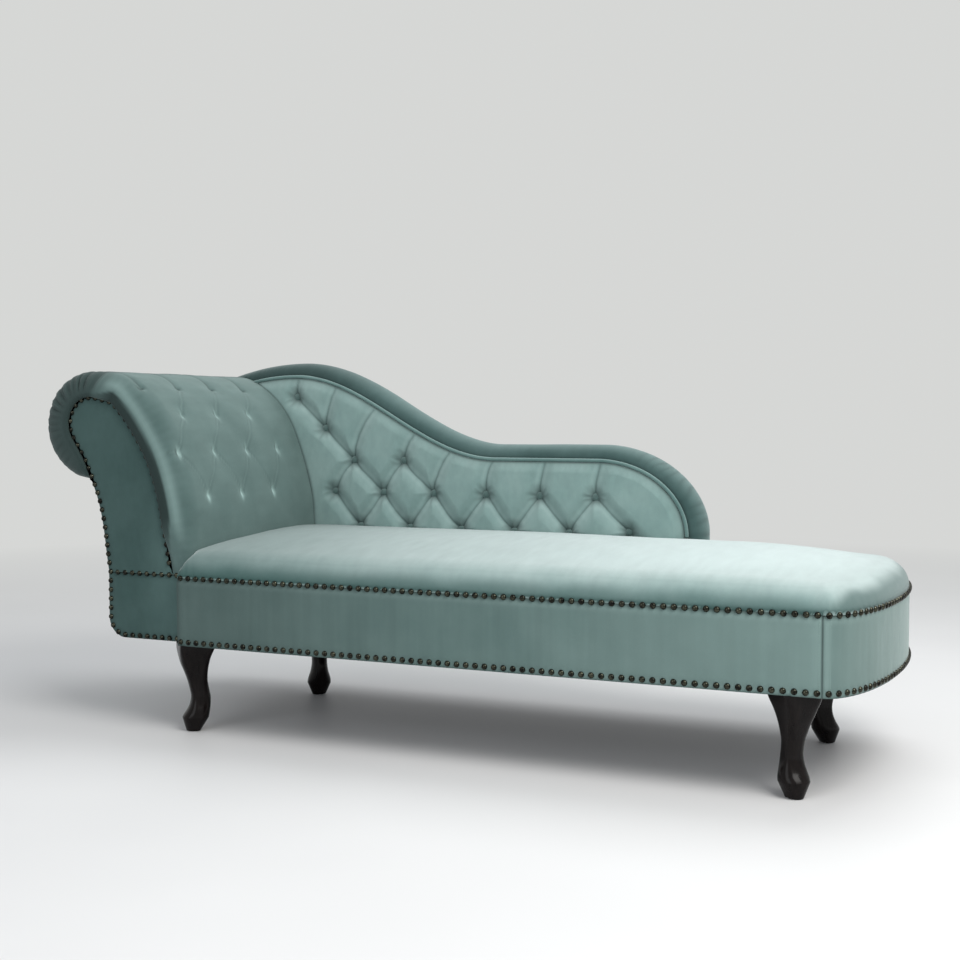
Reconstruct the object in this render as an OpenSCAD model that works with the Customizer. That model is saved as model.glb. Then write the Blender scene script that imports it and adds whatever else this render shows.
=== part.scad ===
// Fainting couch: a scroll arm, a serpentine tufted back and a bowed foot end on four cabriole legs.
// Millimetres. X runs from the arm to the foot end, the front faces -Y, Z is up.
// The origin lies on the floor under the middle of the couch.

/* [Overall] */
// Straight length of the seat front, from the arm to the foot corner
seat_l = 1240; // [1180:10:1400]
// Depth from the front cover to the rear cover
seat_d = 613; // [600:1:660]
// How far the foot end bows out past its corners
bow = 80; // [60:1:100]
// How far the arm reaches past the end of the seat
arm_reach = 373; // [360:1:390]
// Height of the underside of the base above the floor
base_z = 173; // [150:1:200]
// Height of the covered base, from its underside to the upper row of nails
base_h = 132; // [126:1:150]
// Thickness of the frame boards
board = 25; // [20:1:28]
// Thickness of the velvet with its wadding
cloth = 3; // [2:0.5:4]

/* [Seat] */
// Height of the rolled edge of the seat
edge_h = 31; // [26:1:40]
// Width over which that edge rolls over
edge_w = 75; // [60:1:90]
// Rise of the crown from the edge to the middle
crown_h = 50; // [30:1:60]
// How far the seat is drawn down beside the arm and the back
tuck_h = 6; // [0:1:10]
// Thickness of the foam slab
foam_t = 18; // [12:1:20]
// Height of the frame above the upper row of nails
rail_over = 6; // [4:0.5:7]

/* [Arm] */
// Height of the top of the scroll
arm_h = 712; // [680:1:740]
// Radius of the padded scroll
roll_r = 110; // [100:1:120]
// Radius of the scroll of the facing, to its nails
scroll_r = 54; // [48:1:58]
// How far the arm stands back from the seat front
arm_set = 40; // [32:1:50]
// Depth of the rounded front edge of the padding
arm_round = 40; // [30:1:45]
// Radius of the lower outer corner, to its nails
heel_r = 35; // [25:1:45]
// Spacing of the stitched tufts along the arm
arm_pitch = 118; // [110:1:122]
// Depth of those tufts
arm_tuft = 9; // [4:1:12]

/* [Back] */
// Length of the back from the seat end of the arm to its own end
back_l = 863; // [820:1:900]
// Distance of the top of the hump from the seat end of the arm, towards the arm
hump_in = 54; // [40:1:70]
// Distance from the arm to the foot of the fall
fall_out = 445; // [430:1:460]
// Distance from the arm to the start of the rounded end
round_out = 675; // [650:1:690]
// How far the hump of the piping lies below the top of the arm
hump_under = 7; // [0:1:20]
// Height of the piping along the low stretch
low_z = 523; // [500:1:540]
// Thickness of the whole back
back_t = 106; // [100:1:115]
// Height of the border roll above the piping
border_h = 36; // [28:1:42]
// Diameter of the piping
piping_d = 8; // [6:1:10]
// Thickness of the foam slab behind the tufts
back_foam_t = 20; // [14:1:22]

/* [Tufting] */
// Distance of the first button of the second row from the arm
tuft_in = 49; // [44:1:54]
// Spacing of the buttons in a row
tuft_pitch = 124.6; // [116:0.1:130]
// Height from one row of buttons to the next
tuft_rise = 70.5; // [64:0.5:74]
// How far each row moves towards the arm
tuft_lean = 12; // [0:1:16]
// Depth of a button below the padding
button_depth = 17; // [12:1:20]
// Depth of the folds between the buttons
fold_depth = 10; // [6:1:12]
// Diameter of a covered button
button_d = 17; // [12:1:20]

/* [Nails] */
// Diameter of a nail head
nail_d = 11; // [9:0.5:12]
// Height of a nail head
nail_h = 3; // [2:0.5:4]
// Spacing of the nails
nail_pitch = 18; // [16:1:24]

/* [Legs] */
// Width of the square block at the top of a leg
leg_w = 60; // [54:1:64]
// Distance of the front leg centres behind the seat front
leg_in = 45; // [43:1:50]
// Distance of the rear leg centres in front of the rear cover
rear_leg_in = 158; // [120:1:180]
// Distance of the arm end leg from the end of the seat
arm_leg_x = 13; // [10:1:20]
// Distance of the foot end leg from the foot corner
foot_leg_x = 53; // [50:1:70]
// Distance of the rear leg at the arm end from the end of the seat
rear_arm_leg_x = 44; // [40:1:50]
// Distance of the rear leg at the foot end from the foot corner
rear_foot_leg_x = 82; // [70:1:90]
// Side of the square corner blocks
leg_block = 80; // [76:1:84]
// Height of the corner blocks
block_h = 60; // [50:1:70]
// Diameter of the leg bolts
bolt_d = 8; // [6:1:10]

/* [Springs] */
// Number of zigzag springs
springs = 8; // [7:1:9]
// Diameter of the spring wire
wire_d = 4; // [3:0.5:4.5]
// Straight length of one bar of a spring
bar_l = 20; // [14:1:24]
// Distance from one bar to the next
bar_pitch = 34; // [28:1:40]

/* [Hidden] */
$fn = 32;
overrun = 50;
gap = 0.3;
velvet_pale = [0.62, 0.74, 0.71];
velvet_mid = [0.45, 0.58, 0.56];
velvet_dark = [0.29, 0.42, 0.40];
brass = [0.55, 0.47, 0.30];
espresso = [0.09, 0.07, 0.07];
pine = [0.80, 0.66, 0.45];
steel = [0.70, 0.71, 0.73];
foam_colour = [0.93, 0.88, 0.66];
black_cloth = [0.10, 0.10, 0.11];

// Places of the main planes
x_left = -(arm_reach + seat_l + bow + nail_h) / 2;
x_seam = x_left + arm_reach;
x_foot = x_seam + seat_l;
y_front = -(seat_d + nail_h) / 2 + nail_h;
y_rear = y_front + seat_d;
y_mid = (y_front + y_rear) / 2;
half_d = seat_d / 2;
nail_z = base_z + base_h;
sheet_t = 2;
rail_z = base_z + sheet_t;
rail_top = nail_z + rail_over;
seat_top = nail_z + edge_h + crown_h;
y_arm = y_front + arm_set;
y_pad = y_rear - back_t;

// General functions on points
function lerp(a, b, t) = a + (b - a) * t;
function bend(p, i, t) =
  let (a = p[max(i - 1, 0)], b = p[i], c = p[i + 1], d = p[min(i + 2, len(p) - 1)])
  (2 * b + (c - a) * t + (2 * a - 5 * b + 4 * c - d) * t * t + (3 * b - a - 3 * c + d) * t * t * t) / 2;
function spline(p, steps) =
  [for (i = [0 : len(p) - 2]) for (k = [0 : steps - 1]) bend(p, i, k / steps), p[len(p) - 1]];
function backwards(p) = [for (i = [len(p) - 1 : -1 : 0]) p[i]];
function heading(p, i) =
  let (d = p[min(i + 1, len(p) - 1)] - p[max(i - 1, 0)]) d / norm(d);
function shifted(p, d) = [for (i = [0 : len(p) - 1]) let (h = heading(p, i)) p[i] + d * [-h[1], h[0]]];
function distances(p) =
  [for (i = 0, s = 0; i < len(p); s = s + norm(p[min(i + 1, len(p) - 1)] - p[i]), i = i + 1) s];
function segment(l, s) = max([for (i = [0 : len(l) - 2]) l[i] <= s ? i : 0]);
function spot(p, l, s) = let (k = segment(l, s)) lerp(p[k], p[k + 1], (s - l[k]) / (l[k + 1] - l[k]));
function course(p, l, s) = let (k = segment(l, s), d = p[k + 1] - p[k]) d / norm(d);
function arc(c, r, a, b, n) = [for (i = [0 : n]) c + r * [cos(lerp(a, b, i / n)), sin(lerp(a, b, i / n))]];
function swell(d, w) = d >= w ? 1 : sqrt(max(0, 1 - pow(1 - d / w, 2)));

// Solid from rings of points, closed by a flat cap at each end
module loft(rings) {
  n = len(rings[0]);
  m = len(rings);
  polyhedron(
    points = [for (r = rings) each r],
    faces = [
      [for (j = [0 : n - 1]) j],
      [for (j = [n - 1 : -1 : 0]) (m - 1) * n + j],
      for (i = [0 : m - 2]) for (j = [0 : n - 1]) let (a = i * n + j, b = i * n + (j + 1) % n)
        each [[a, a + n, b], [b, a + n, b + n]]
    ],
    convexity = 10);
}

// Board of an outline in X and Z, from one depth to another
module board_xz(outline, y0, y1) {
  translate([0, y1, 0]) rotate([90, 0, 0]) linear_extrude(y1 - y0) polygon(outline);
}

// Flat slab of an outline in X and Y, from one height to another
module slab(outline, z0, z1) {
  translate([0, 0, z0]) linear_extrude(z1 - z0) polygon(outline);
}

module bar(lo, hi) {
  translate(lo) cube(hi - lo);
}

// Plan of the seat: straight sides and a bowed foot end, drawn in by an inset
bow_steps = 26;
function bow_point(inset, a) = [x_foot + (bow - inset) * cos(a), y_mid + (half_d - inset) * sin(a)];
function bow_line(inset) = [for (i = [0 : bow_steps]) bow_point(inset, lerp(-90, 90, i / bow_steps))];

// Outline of the arm: shares of its run to the scroll and of its height over the nails
arm_run = arm_reach - roll_r;
arm_rise = arm_h - nail_z;
function arm_at(s) = [x_seam - s[0] * arm_run, nail_z + s[1] * arm_rise];
face_shares = [[0, 0], [0, 0.18], [0.027, 0.373], [0.129, 0.590], [0.255, 0.769], [0.449, 0.907],
  [0.700, 0.984], [1, 1]];
inner_shares = [[0.163, 0], [0.213, 0.184], [0.274, 0.386], [0.376, 0.563], [0.544, 0.730], [0.700, 0.838]];
outer_shares = [[0.977, 0.565], [0.894, 0.459], [0.829, 0.356], [0.783, 0.233], [0.750, 0.080], [0.730, 0]];
roll_c = [x_left + roll_r, arm_h - roll_r];
scroll_shares = [0.905, 0.732];
scroll_c = arm_at(scroll_shares);
face_steps = 4;
face_line = spline([for (s = face_shares) arm_at(s)], face_steps);
// Padded outside of the arm, from the seat up over the scroll to the neck
neck = arm_at(outer_shares[1]);
arm_skin = concat(face_line, arc(roll_c, roll_r, 108, 270, 9), [neck]);
// All of the arm and what lies below it, drawn outwards by the clearance
arm_zone = concat([[x_seam + gap, base_z - overrun]], shifted(arm_skin, -gap),
  [[neck[0], neck[1] - board], [x_left - overrun, neck[1] - board], [x_left - overrun, base_z - overrun]]);
// Line of the nails round the facing, from the seat up over the scroll and down outside
inner_line = spline([for (s = inner_shares) arm_at(s)], 3);
scroll_line = arc(scroll_c, scroll_r, 82, 205, 8);
outer_line = spline([for (s = outer_shares) arm_at(s)], 3);
facing_line = concat(inner_line, scroll_line, outer_line);
// Place on that line where the padding ends under the scroll
neck_i = len(inner_line) + len(scroll_line) + 3;
// Width of the facing outside its nails
facing_edge = 6;
x_heel = facing_line[len(facing_line) - 1][0];
heel_c = [x_heel + heel_r, base_z + facing_edge + heel_r];
function heel(d) = arc(heel_c, heel_r + d, 180, 270, 6);
// Part of the facing line from one place to another, drawn outwards by d
function facing_part(i0, i1, d) = let (p = shifted(facing_line, -d)) [for (i = [i0 : i1]) p[i]];
// Whole front of the arm down to the underside, drawn outwards by d from the nails
function arm_front(d) = let (p = shifted(facing_line, -d))
  concat([[x_seam, base_z], [x_seam, nail_z], [p[0][0], nail_z]], [for (i = [1 : len(p) - 2]) p[i]],
    [[x_heel - d, nail_z]], heel(d), [[x_heel + heel_r, base_z]]);

// Line of the piping on the back: crest, serpentine fall, low stretch, rounded end
crest_r = 550;
crest_in = 265;
end_under = 11;
x_hump = x_seam - hump_in;
hump_z = arm_h - hump_under;
x_fall = x_seam + fall_out;
x_low = x_seam + round_out;
x_end = x_seam + back_l;
x_crest = x_seam - crest_in;
end_z = seat_top - end_under;
function fall_z(x) = low_z + (hump_z - low_z) * (1 + cos(180 * (x - x_hump) / (x_fall - x_hump))) / 2;
function crest_z(x) = hump_z - pow(x - x_hump, 2) / (2 * crest_r);
function end_curve_z(x) = end_z + (low_z - end_z) * sqrt(max(0, 1 - pow((x - x_low) / (x_end - x_low), 2)));
function piping_z(x) = x < x_hump ? crest_z(x) : x < x_fall ? fall_z(x) : x < x_low ? low_z : end_curve_z(x);
piping_line = concat(
  [for (i = [0 : 5]) let (x = lerp(x_crest, x_hump, i / 6)) [x, crest_z(x)]],
  [for (i = [0 : 17]) let (x = lerp(x_hump, x_fall, i / 18)) [x, fall_z(x)]],
  [for (i = [0 : 2]) [lerp(x_fall, x_low, i / 3), low_z]],
  [for (i = [0 : 11]) [lerp(x_low, x_end, sin(7.5 * i)), lerp(end_z, low_z, cos(7.5 * i))]],
  [[x_end, end_z], [x_end, rail_top]]);
// Line of the piping down to the crown of the seat
back_line = [for (i = [0 : len(piping_line) - 2]) piping_line[i]];

// Depth of the planes inside the back: boards, webbing, foam, and the rail behind the springs
y_board = y_rear - cloth - 2 * board;
y_foam = y_board - back_foam_t;
y_spring = y_board - board;
web_t = 1.5;
pad_bottom = nail_z + edge_h;

// Places of the buttons, counted from the lowest row
tuft_under = 5;
button_x = x_seam + tuft_in;
button_z = seat_top - tuft_under;
function button_at(r, k) = [button_x + tuft_pitch * (k + (r % 2 == 0 ? 0.5 : 0)) - tuft_lean * (r - 1),
  button_z + tuft_rise * r];
button_places = concat([for (k = [0 : 5]) button_at(0, k)], [for (k = [0 : 5]) button_at(1, k)],
  [button_at(2, 0), button_at(2, 1), button_at(3, 0), button_at(4, -1)]);
// Upper button of each pleat that runs to the piping
pleat_places = [button_at(4, -1), button_at(3, 0), button_at(2, 0), button_at(2, 1), button_at(1, 2),
  button_at(1, 3), button_at(1, 4), button_at(1, 5)];
pleat_lean_share = 0.2;
// Folds between neighbouring buttons, as pairs of places
folds = concat(
  [for (k = [0 : 5]) [button_at(1, k), button_at(0, k)]],
  [for (k = [1 : 5]) [button_at(1, k), button_at(0, k - 1)]],
  [for (k = [0, 1]) [button_at(2, k), button_at(1, k)]],
  [for (k = [0, 1]) [button_at(2, k), button_at(1, k + 1)]],
  [[button_at(3, 0), button_at(2, 0)], [button_at(4, -1), button_at(3, 0)]],
  [for (k = [0 : 5]) [button_at(0, k), button_at(-1, k)]],
  [for (k = [0 : 5]) [button_at(0, k), button_at(-1, k + 1)]],
  [for (b = pleat_places) let (x = b[0] + (piping_z(b[0]) - b[1]) * pleat_lean_share)
    [b, [x, piping_z(x)]]]);
function to_segment(p, a, b) =
  let (d = b - a, t = max(0, min(1, ((p - a) * d) / (d * d)))) norm(p - a - t * d);
fold_share = 0.28;
fold_w = tuft_pitch * fold_share;
button_share = 0.24;
button_w = tuft_pitch * button_share;
function rise_from(d, w) = d >= w ? 1 : sin(90 * d / w);
// Depth of the velvet under its highest place, at a place on the back
function tuft_depth(p) =
  let (f = min([for (s = folds) to_segment(p, s[0], s[1])]), b = min([for (c = button_places) norm(p - c)]),
    e = min(abs(piping_z(p[0]) - p[1]), abs(x_end - p[0])))
  fold_depth * (1 - min(rise_from(f, fold_w), rise_from(e, fold_w)))
    + (button_depth - fold_depth) * (1 - rise_from(b, button_w));

// Pieces of the frame

module front_rail() {
  color(pine) difference() {
    bar([x_seam + cloth, y_front + cloth, rail_z], [x_foot, y_front + cloth + board, rail_top]);
    screws_at(concat(cross_screws, block_screws), gap);
  }
}

module rear_rail() {
  color(pine) difference() {
    bar([x_seam, y_rear - cloth - board, rail_z], [x_foot, y_rear - cloth, rail_top]);
    screws_at(upright_screws, gap);
  }
}

module foot_rail() {
  color(pine) slab(concat(bow_line(cloth), backwards(bow_line(cloth + board))), rail_z, rail_top);
}

module head_rail() {
  color(pine) bar([heel_c[0], y_arm + cloth + board, rail_z],
    [heel_c[0] + board, y_board, rail_top - 2 * board]);
}

// Left faces of the cross rails: the first carries the arm, the last stands beside the foot end blocks
cross_shares = [0.31, 0.63];
foot_cross_x = x_foot - rear_foot_leg_x - leg_block / 2 - board;
inner_cross_x = concat([for (s = cross_shares) x_seam + s * seat_l], [foot_cross_x]);
module cross_rails() {
  color(pine) difference() {
    union() {
      bar([x_seam - board, y_arm + cloth + board, rail_z], [x_seam, y_rear - cloth - board, nail_z]);
      for (x = inner_cross_x)
        bar([x, y_front + cloth + board, rail_z], [x + board, y_spring, rail_top - 2 * board]);
    }
    screws_at(concat(cross_screws, arm_screws, block_screws), gap);
  }
}

// Rail in front of the back's uprights, which carries the rear ends of the springs
module spring_rail() {
  color(pine) difference() {
    intersection() {
      bar([x_seam, y_spring, rail_z], [x_foot + bow, y_board, rail_top]);
      slab(concat([[x_seam, y_rear], [x_seam, y_front]], bow_line(cloth + board)), base_z, nail_z + board);
    }
    screws_at(cross_screws, gap);
  }
}

// Centres of the legs: front arm end, front foot end, rear arm end, rear foot end
leg_places = [
  [x_seam + arm_leg_x, y_front + leg_in],
  [x_foot - foot_leg_x, y_front + leg_in],
  [x_seam + rear_arm_leg_x, y_rear - rear_leg_in],
  [x_foot - rear_foot_leg_x, y_rear - rear_leg_in]];
leg_turns = [-135, -45, 135, 45];
block_y0 = y_front + cloth + board;
block_los = [
  [x_seam, block_y0],
  [leg_places[1][0] - leg_block / 2, block_y0],
  [x_seam, leg_places[2][1] - leg_block / 2],
  [leg_places[3][0] - leg_block / 2, leg_places[3][1] - leg_block / 2]];
barrel_wall = 1;
barrel_d = bolt_d + 2 * barrel_wall;
// Corner blocks; the front one at the arm is rebated for the end of the front cover
module leg_blocks() {
  color(pine) for (i = [0 : 3]) difference() {
    bar([block_los[i][0], block_los[i][1], rail_z],
      [block_los[i][0] + leg_block, block_los[i][1] + leg_block, rail_z + block_h]);
    translate([leg_places[i][0], leg_places[i][1], rail_z - overrun])
      cylinder(h = block_h + 2 * overrun, d = barrel_d + 2 * gap);
    bar([x_seam - overrun, y_front, base_z], [x_seam + cloth, y_arm, nail_z]);
    screws_at(block_screws, gap);
  }
}

// Pieces of the arm

lining_t = 3;
post_edge = facing_edge - lining_t - gap;
module arm_post(y0) {
  color(pine) difference() {
    intersection() {
      board_xz(arm_front(post_edge), y0, y0 + board);
      bar([x_heel - cloth, y_arm, rail_z], [x_seam, y_rear, arm_h]);
    }
    screws_at(concat(arm_screws, upright_screws), gap);
  }
}

module arm_front_post() {
  arm_post(y_arm + cloth);
}

module arm_rear_post() {
  arm_post(y_rear - cloth - board);
}

scroll_bar_share = 0.85;
scroll_bar_r = scroll_r * scroll_bar_share;
tack_bar_shares = [0.33, 0.25];
tack_bar = arm_at(tack_bar_shares);
throat_bar_shares = [0.80, 0.42];
throat_bar = arm_at(throat_bar_shares);
module arm_stretchers() {
  y0 = y_arm + cloth + board;
  y1 = y_rear - cloth - board;
  color(pine) difference() {
    union() {
      translate([scroll_c[0], y1, scroll_c[1]]) rotate([90, 0, 0])
        cylinder(h = y1 - y0, r = scroll_bar_r, $fn = 48);
      bar([tack_bar[0] - board, y0, tack_bar[1] - board], [tack_bar[0], y1, tack_bar[1] + board]);
      bar([throat_bar[0], y0, throat_bar[1] - board], [throat_bar[0] + board, y1, throat_bar[1] + board]);
    }
    screws_at(arm_screws, gap);
  }
}

module arm_lining() {
  outside = facing_part(0, neck_i, facing_edge);
  color("tan") board_xz(concat(outside, backwards(facing_part(0, neck_i, facing_edge - lining_t))),
    y_arm + cloth, y_board - gap);
}

// Padding over the lining: its front edge is rounded by growing each place from the nearest of the lining
padding_root = facing_part(0, neck_i, facing_edge + gap);
module arm_padding() {
  thin = cloth;
  low = [padding_root[0][0] - cloth, nail_z];
  function root(p) = let (d = [for (q = padding_root) norm(p - q)]) padding_root[search(min(d), d)[0]];
  function grown(p, share) = let (q = root(p), d = p - q, l = norm(d)) q + d / l * max(thin, l * share);
  stations = concat(
    [for (a = [0 : 22.5 : 67.5]) [y_arm + arm_round * (1 - cos(a)), sin(a)]],
    [for (y = arm_stations) [y, 1]]);
  rings = [for (s = stations) concat(
    [for (i = [0 : len(arm_skin) - 1]) let (p = grown(arm_skin[i], s[1]), h = heading(arm_skin, i),
      d = s[1] < 1 ? 0 : arm_dimple(i, s[0])) [p[0] - d * h[1], s[0], p[1] + d * h[0]]],
    [[low[0], s[0], low[1]]])];
  color(velvet_mid) difference() {
    loft(rings);
    board_xz(concat([[low[0], nail_z - board], [padding_root[0][0], nail_z - board]], padding_root,
      [[padding_root[neck_i][0], neck[1] - board]]), y_arm - overrun, y_rear + overrun);
    board_xz(back_zone, y_board - gap, y_rear + overrun);
  }
}

// Stations along the depth of the arm, closer beside each line of tufts
arm_tuft_share = 0.21;
arm_tuft_y = y_arm + arm_pitch * arm_tuft_share;
arm_half = arm_pitch / 2;
station_shares = [0, 0.26, 0.74];
arm_stations = concat(
  [for (k = [0 : 7]) for (s = station_shares) let (y = arm_tuft_y + arm_half * (k + s))
    if (y >= y_arm + arm_round && y < y_pad) y],
  [y_board - board, y_rear - cloth]);
// Depth of the arm's padding at a place on its skin: four staggered rows of tufts with light folds
function arm_dimple(i, y) =
  let (r = i / face_steps - 2, u = (y - arm_tuft_y) / arm_pitch)
  r < -0.9 || r > 3.9 || y > y_pad ? 0 :
  let (d = min([for (row = [0 : 3]) for (k = [0 : 3]) let (c = k + (row % 2 == 0 ? 0.5 : 0))
      row % 2 == 0 && k == 3 ? 9 : norm([(u - c) * 1.4, r - row])]))
  arm_tuft * exp(-pow(d / fold_share, 2));

last_i = len(facing_line) - 1;
module arm_facing() {
  edge = facing_part(1, last_i - 1, facing_edge);
  outline = concat([[padding_root[0][0] + gap, nail_z]], edge, [[x_heel - facing_edge, nail_z]]);
  color(velvet_dark) board_xz(outline, y_arm, y_arm + cloth);
}

module arm_base_cover() {
  color(velvet_dark) board_xz(concat([[x_seam - gap, base_z], [x_seam - gap, nail_z],
    [x_heel - facing_edge, nail_z]], heel(facing_edge)), y_arm, y_arm + cloth);
}

// Outer side of the arm from the neck down to the underside
function outer_side_at(d) = concat(facing_part(neck_i, last_i - 1, d), [[x_heel - d, nail_z]], heel(d));
module arm_outer_cover() {
  inside = backwards(outer_side_at(facing_edge - cloth));
  color(velvet_dark) board_xz(concat(outer_side_at(facing_edge), inside), y_arm + cloth, y_rear - cloth);
}

// Pieces of the back

// Area of the back, drawn outwards by the clearance
back_zone = concat([[x_crest, rail_top - board]], shifted(piping_line, gap),
  [[x_end + gap, rail_top - board]]);
back_rail_h = 60;
upright_w = 40;
arm_upright_x = tack_bar[0] - board - gap - upright_w;
rail_under = shifted(back_line, -back_rail_h);
// Area above the lower edge of the top rail, against which the other boards stop
rail_area = concat(rail_under, [[x_end, end_z], [x_end, hump_z + overrun], [x_crest, hump_z + overrun]]);
module back_top_rail() {
  color(pine) intersection() {
    board_xz(concat(back_line, backwards(rail_under)), y_board, y_board + board);
    bar([arm_upright_x, y_board, rail_z], [x_end, y_rear, arm_h]);
  }
}

upright_shares = [0.24, 0.526];
upright_x = concat([arm_upright_x], [for (s = upright_shares) x_seam + s * back_l], [x_end - upright_w]);
module back_uprights() {
  color(pine) difference() {
    for (x = upright_x) bar([x, y_board, rail_z], [x + upright_w, y_board + board, hump_z]);
    board_xz(rail_area, y_board - overrun, y_rear + overrun);
    screws_at(upright_screws, gap);
  }
}

tack_over = 20;
tack_z = seat_top + tack_over;
tack_h = 45;
module back_tack_rail() {
  color(pine) difference() {
    for (i = [0 : len(upright_x) - 2])
      bar([i == 0 ? tack_bar[0] : upright_x[i] + upright_w, y_board, tack_z],
        [upright_x[i + 1], y_board + board, tack_z + tack_h]);
    board_xz(rail_area, y_board - overrun, y_rear + overrun);
  }
}

webs = 6;
web_w = 50;
web_in_share = 0.112;
web_pitch_share = 0.149;
module back_webbing() {
  color("peru") for (i = [0 : webs - 1]) {
    x = x_seam + back_l * (web_in_share + i * web_pitch_share);
    bar([x, y_board - web_t, tack_z], [x + web_w, y_board, min(piping_z(x), piping_z(x + web_w)) - board]);
  }
}

module back_foam() {
  color(foam_colour) difference() {
    board_xz(concat([[x_hump, pad_bottom]], back_line, [[x_end, pad_bottom]]), y_foam, y_board - web_t);
    board_xz(arm_zone, y_front, y_rear + overrun);
  }
}

// Columns of the tufted face stand on the same slanting grid as the buttons
tuft_steps = 4;
col_w = tuft_pitch / 2 / tuft_steps;
row_h = tuft_rise / tuft_steps;
first_col = -9;
last_col = floor((x_end - button_x) / col_w) - 1;
end_cols = 4;
function col_x(i) = i <= last_col ? button_x + i * col_w
  : lerp(button_x + last_col * col_w, x_end, sin(90 * (i - last_col) / end_cols));
function lean_at(i) = i <= last_col ? tuft_lean * (1 - max(0, i - last_col + 2) / 2) : 0;
function grid_point(i, z) = [col_x(i) - lean_at(i) * ((z - button_z) / tuft_rise - 1), z];
first_row = -floor((button_z - pad_bottom) / row_h);
function row_z(j) = button_z + (first_row + j) * row_h;
function meet_z(i, z, n) = n == 0 ? z : meet_z(i, piping_z(min(x_end, grid_point(i, z)[0])), n - 1);
// Points of one column, from the bottom up to the piping
function column(i) = let (top = i == last_col + end_cols ? end_z + fold_w / 3 : meet_z(i, low_z, 6))
  concat([for (j = [0 : 40]) if (row_z(j) < top - row_h / 3) grid_point(i, row_z(j))], [grid_point(i, top)]);
module tufted_solid() {
  cols = [for (i = [first_col : last_col + end_cols]) column(i)];
  counts = [for (c = cols) len(c)];
  starts = [for (i = 0, s = 0; i < len(cols); s = s + counts[i], i = i + 1) s];
  front = [for (c = cols) each [for (p = c) [p[0], y_pad + tuft_depth(p), p[1]]]];
  last = len(cols) - 1;
  m = len(front);
  function low(i) = starts[i];
  function top(i) = starts[i] + counts[i] - 1;
  behind = [for (i = [0 : last]) each [for (k = [low(i), top(i)]) [front[k][0], y_foam, front[k][2]]]];
  function flips(i, j) = (floor((i + first_col) / tuft_steps) + floor((first_row + j) / tuft_steps)) % 2 == 0;
  polyhedron(
    points = concat(front, behind),
    faces = [
      for (i = [0 : last - 1]) for (j = [0 : max(counts[i], counts[i + 1]) - 2])
        let (a = starts[i] + min(j, counts[i] - 1), a2 = starts[i] + min(j + 1, counts[i] - 1),
          b = starts[i + 1] + min(j, counts[i + 1] - 1), b2 = starts[i + 1] + min(j + 1, counts[i + 1] - 1))
        each a == a2 ? [[a, b2, b]] : b == b2 ? [[a, a2, b]]
          : flips(i, j) ? [[a, a2, b2], [a, b2, b]] : [[a, a2, b], [b, a2, b2]],
      for (i = [0 : last - 1]) let (b = m + 2 * i) each [
        [low(i), low(i + 1), b], [low(i + 1), b + 2, b],
        [top(i), b + 1, top(i + 1)], [top(i + 1), b + 1, b + 3],
        [b, b + 2, b + 3], [b, b + 3, b + 1]],
      for (j = [low(0) : top(0) - 1]) [j, m, j + 1],
      [top(0), m, m + 1],
      for (j = [low(last) : top(last) - 1]) [j, j + 1, m + 2 * last],
      [top(last), m + 2 * last + 1, m + 2 * last]
    ],
    convexity = 10);
}

module back_cover() {
  color(velvet_pale) difference() {
    tufted_solid();
    board_xz(arm_zone, y_front, y_rear + overrun);
  }
}

// Half round roll along the back: each ring runs from the front foot over the top to the rear foot
// At its end the roll is lower, where it goes down behind the seat
border_steps = 8;
border_end_share = 0.82;
module back_border() {
  y0 = y_pad + button_depth;
  y1 = y_rear - cloth;
  rings = [for (i = [0 : len(piping_line) - 1])
    let (h = heading(piping_line, i), out = [-h[1], h[0]],
      tall = border_h * (i < len(piping_line) - 2 ? 1 : border_end_share))
    [for (k = [0 : border_steps])
      let (a = 180 * k / border_steps, p = piping_line[i] + out * (gap + tall * pow(sin(a), 0.6)))
      [p[0], lerp(y0, y1, (1 - cos(a)) / 2), p[1]]]];
  color(velvet_dark) difference() {
    loft(rings);
    board_xz(arm_zone, y_front - overrun, y_rear + overrun);
  }
}

module back_piping() {
  path = shifted(back_line, gap);
  y0 = y_pad + button_depth - piping_d / 2 - gap;
  sides = 8;
  rings = [for (i = [0 : len(path) - 1]) let (h = heading(path, i), out = [-h[1], h[0]])
    [for (k = [0 : sides - 1]) let (a = 360 * k / sides, p = path[i] + out * piping_d / 2 * (1 + cos(a)))
    [p[0], y0 - piping_d / 2 * sin(a), p[1]]]];
  color(velvet_mid) difference() {
    loft(rings);
    board_xz(arm_zone, y_front - overrun, y_rear + overrun);
  }
}

// Covered button: a domed cap on a shank that reaches the bottom of its tuft
shank_l = 7.5;
shank_share = 0.0625;
dome_share = 0.71;
module back_buttons() {
  color(velvet_mid) for (b = button_places)
    translate([b[0], y_pad + button_depth - gap, b[1]]) rotate([90, 0, 0]) rotate_extrude() {
      translate([0, shank_l]) intersection() {
        translate([0, -button_d / 2]) circle(button_d * dome_share);
        square([button_d / 2, button_d / 2]);
      }
      square([button_d * shank_share, shank_l]);
    }
}

// Flat sheet over the whole rear: the base, the back and the arm with its scroll
rear_over = 10;
module rear_cover() {
  arm_rear = concat([[x_seam, base_z + board]], [for (i = [0 : len(arm_skin) - 2]) arm_skin[i]],
    outer_side_at(facing_edge));
  back_rear = concat([[x_hump, base_z + board]], shifted(back_line, rear_over),
    [[x_end + rear_over, base_z + board]]);
  color(velvet_dark) union() {
    bar([heel_c[0], y_rear - cloth, base_z], [x_foot, y_rear, nail_z - gap]);
    board_xz(back_rear, y_rear - cloth, y_rear);
    board_xz(arm_rear, y_rear - cloth, y_rear);
  }
}

// Pieces of the seat

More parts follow.
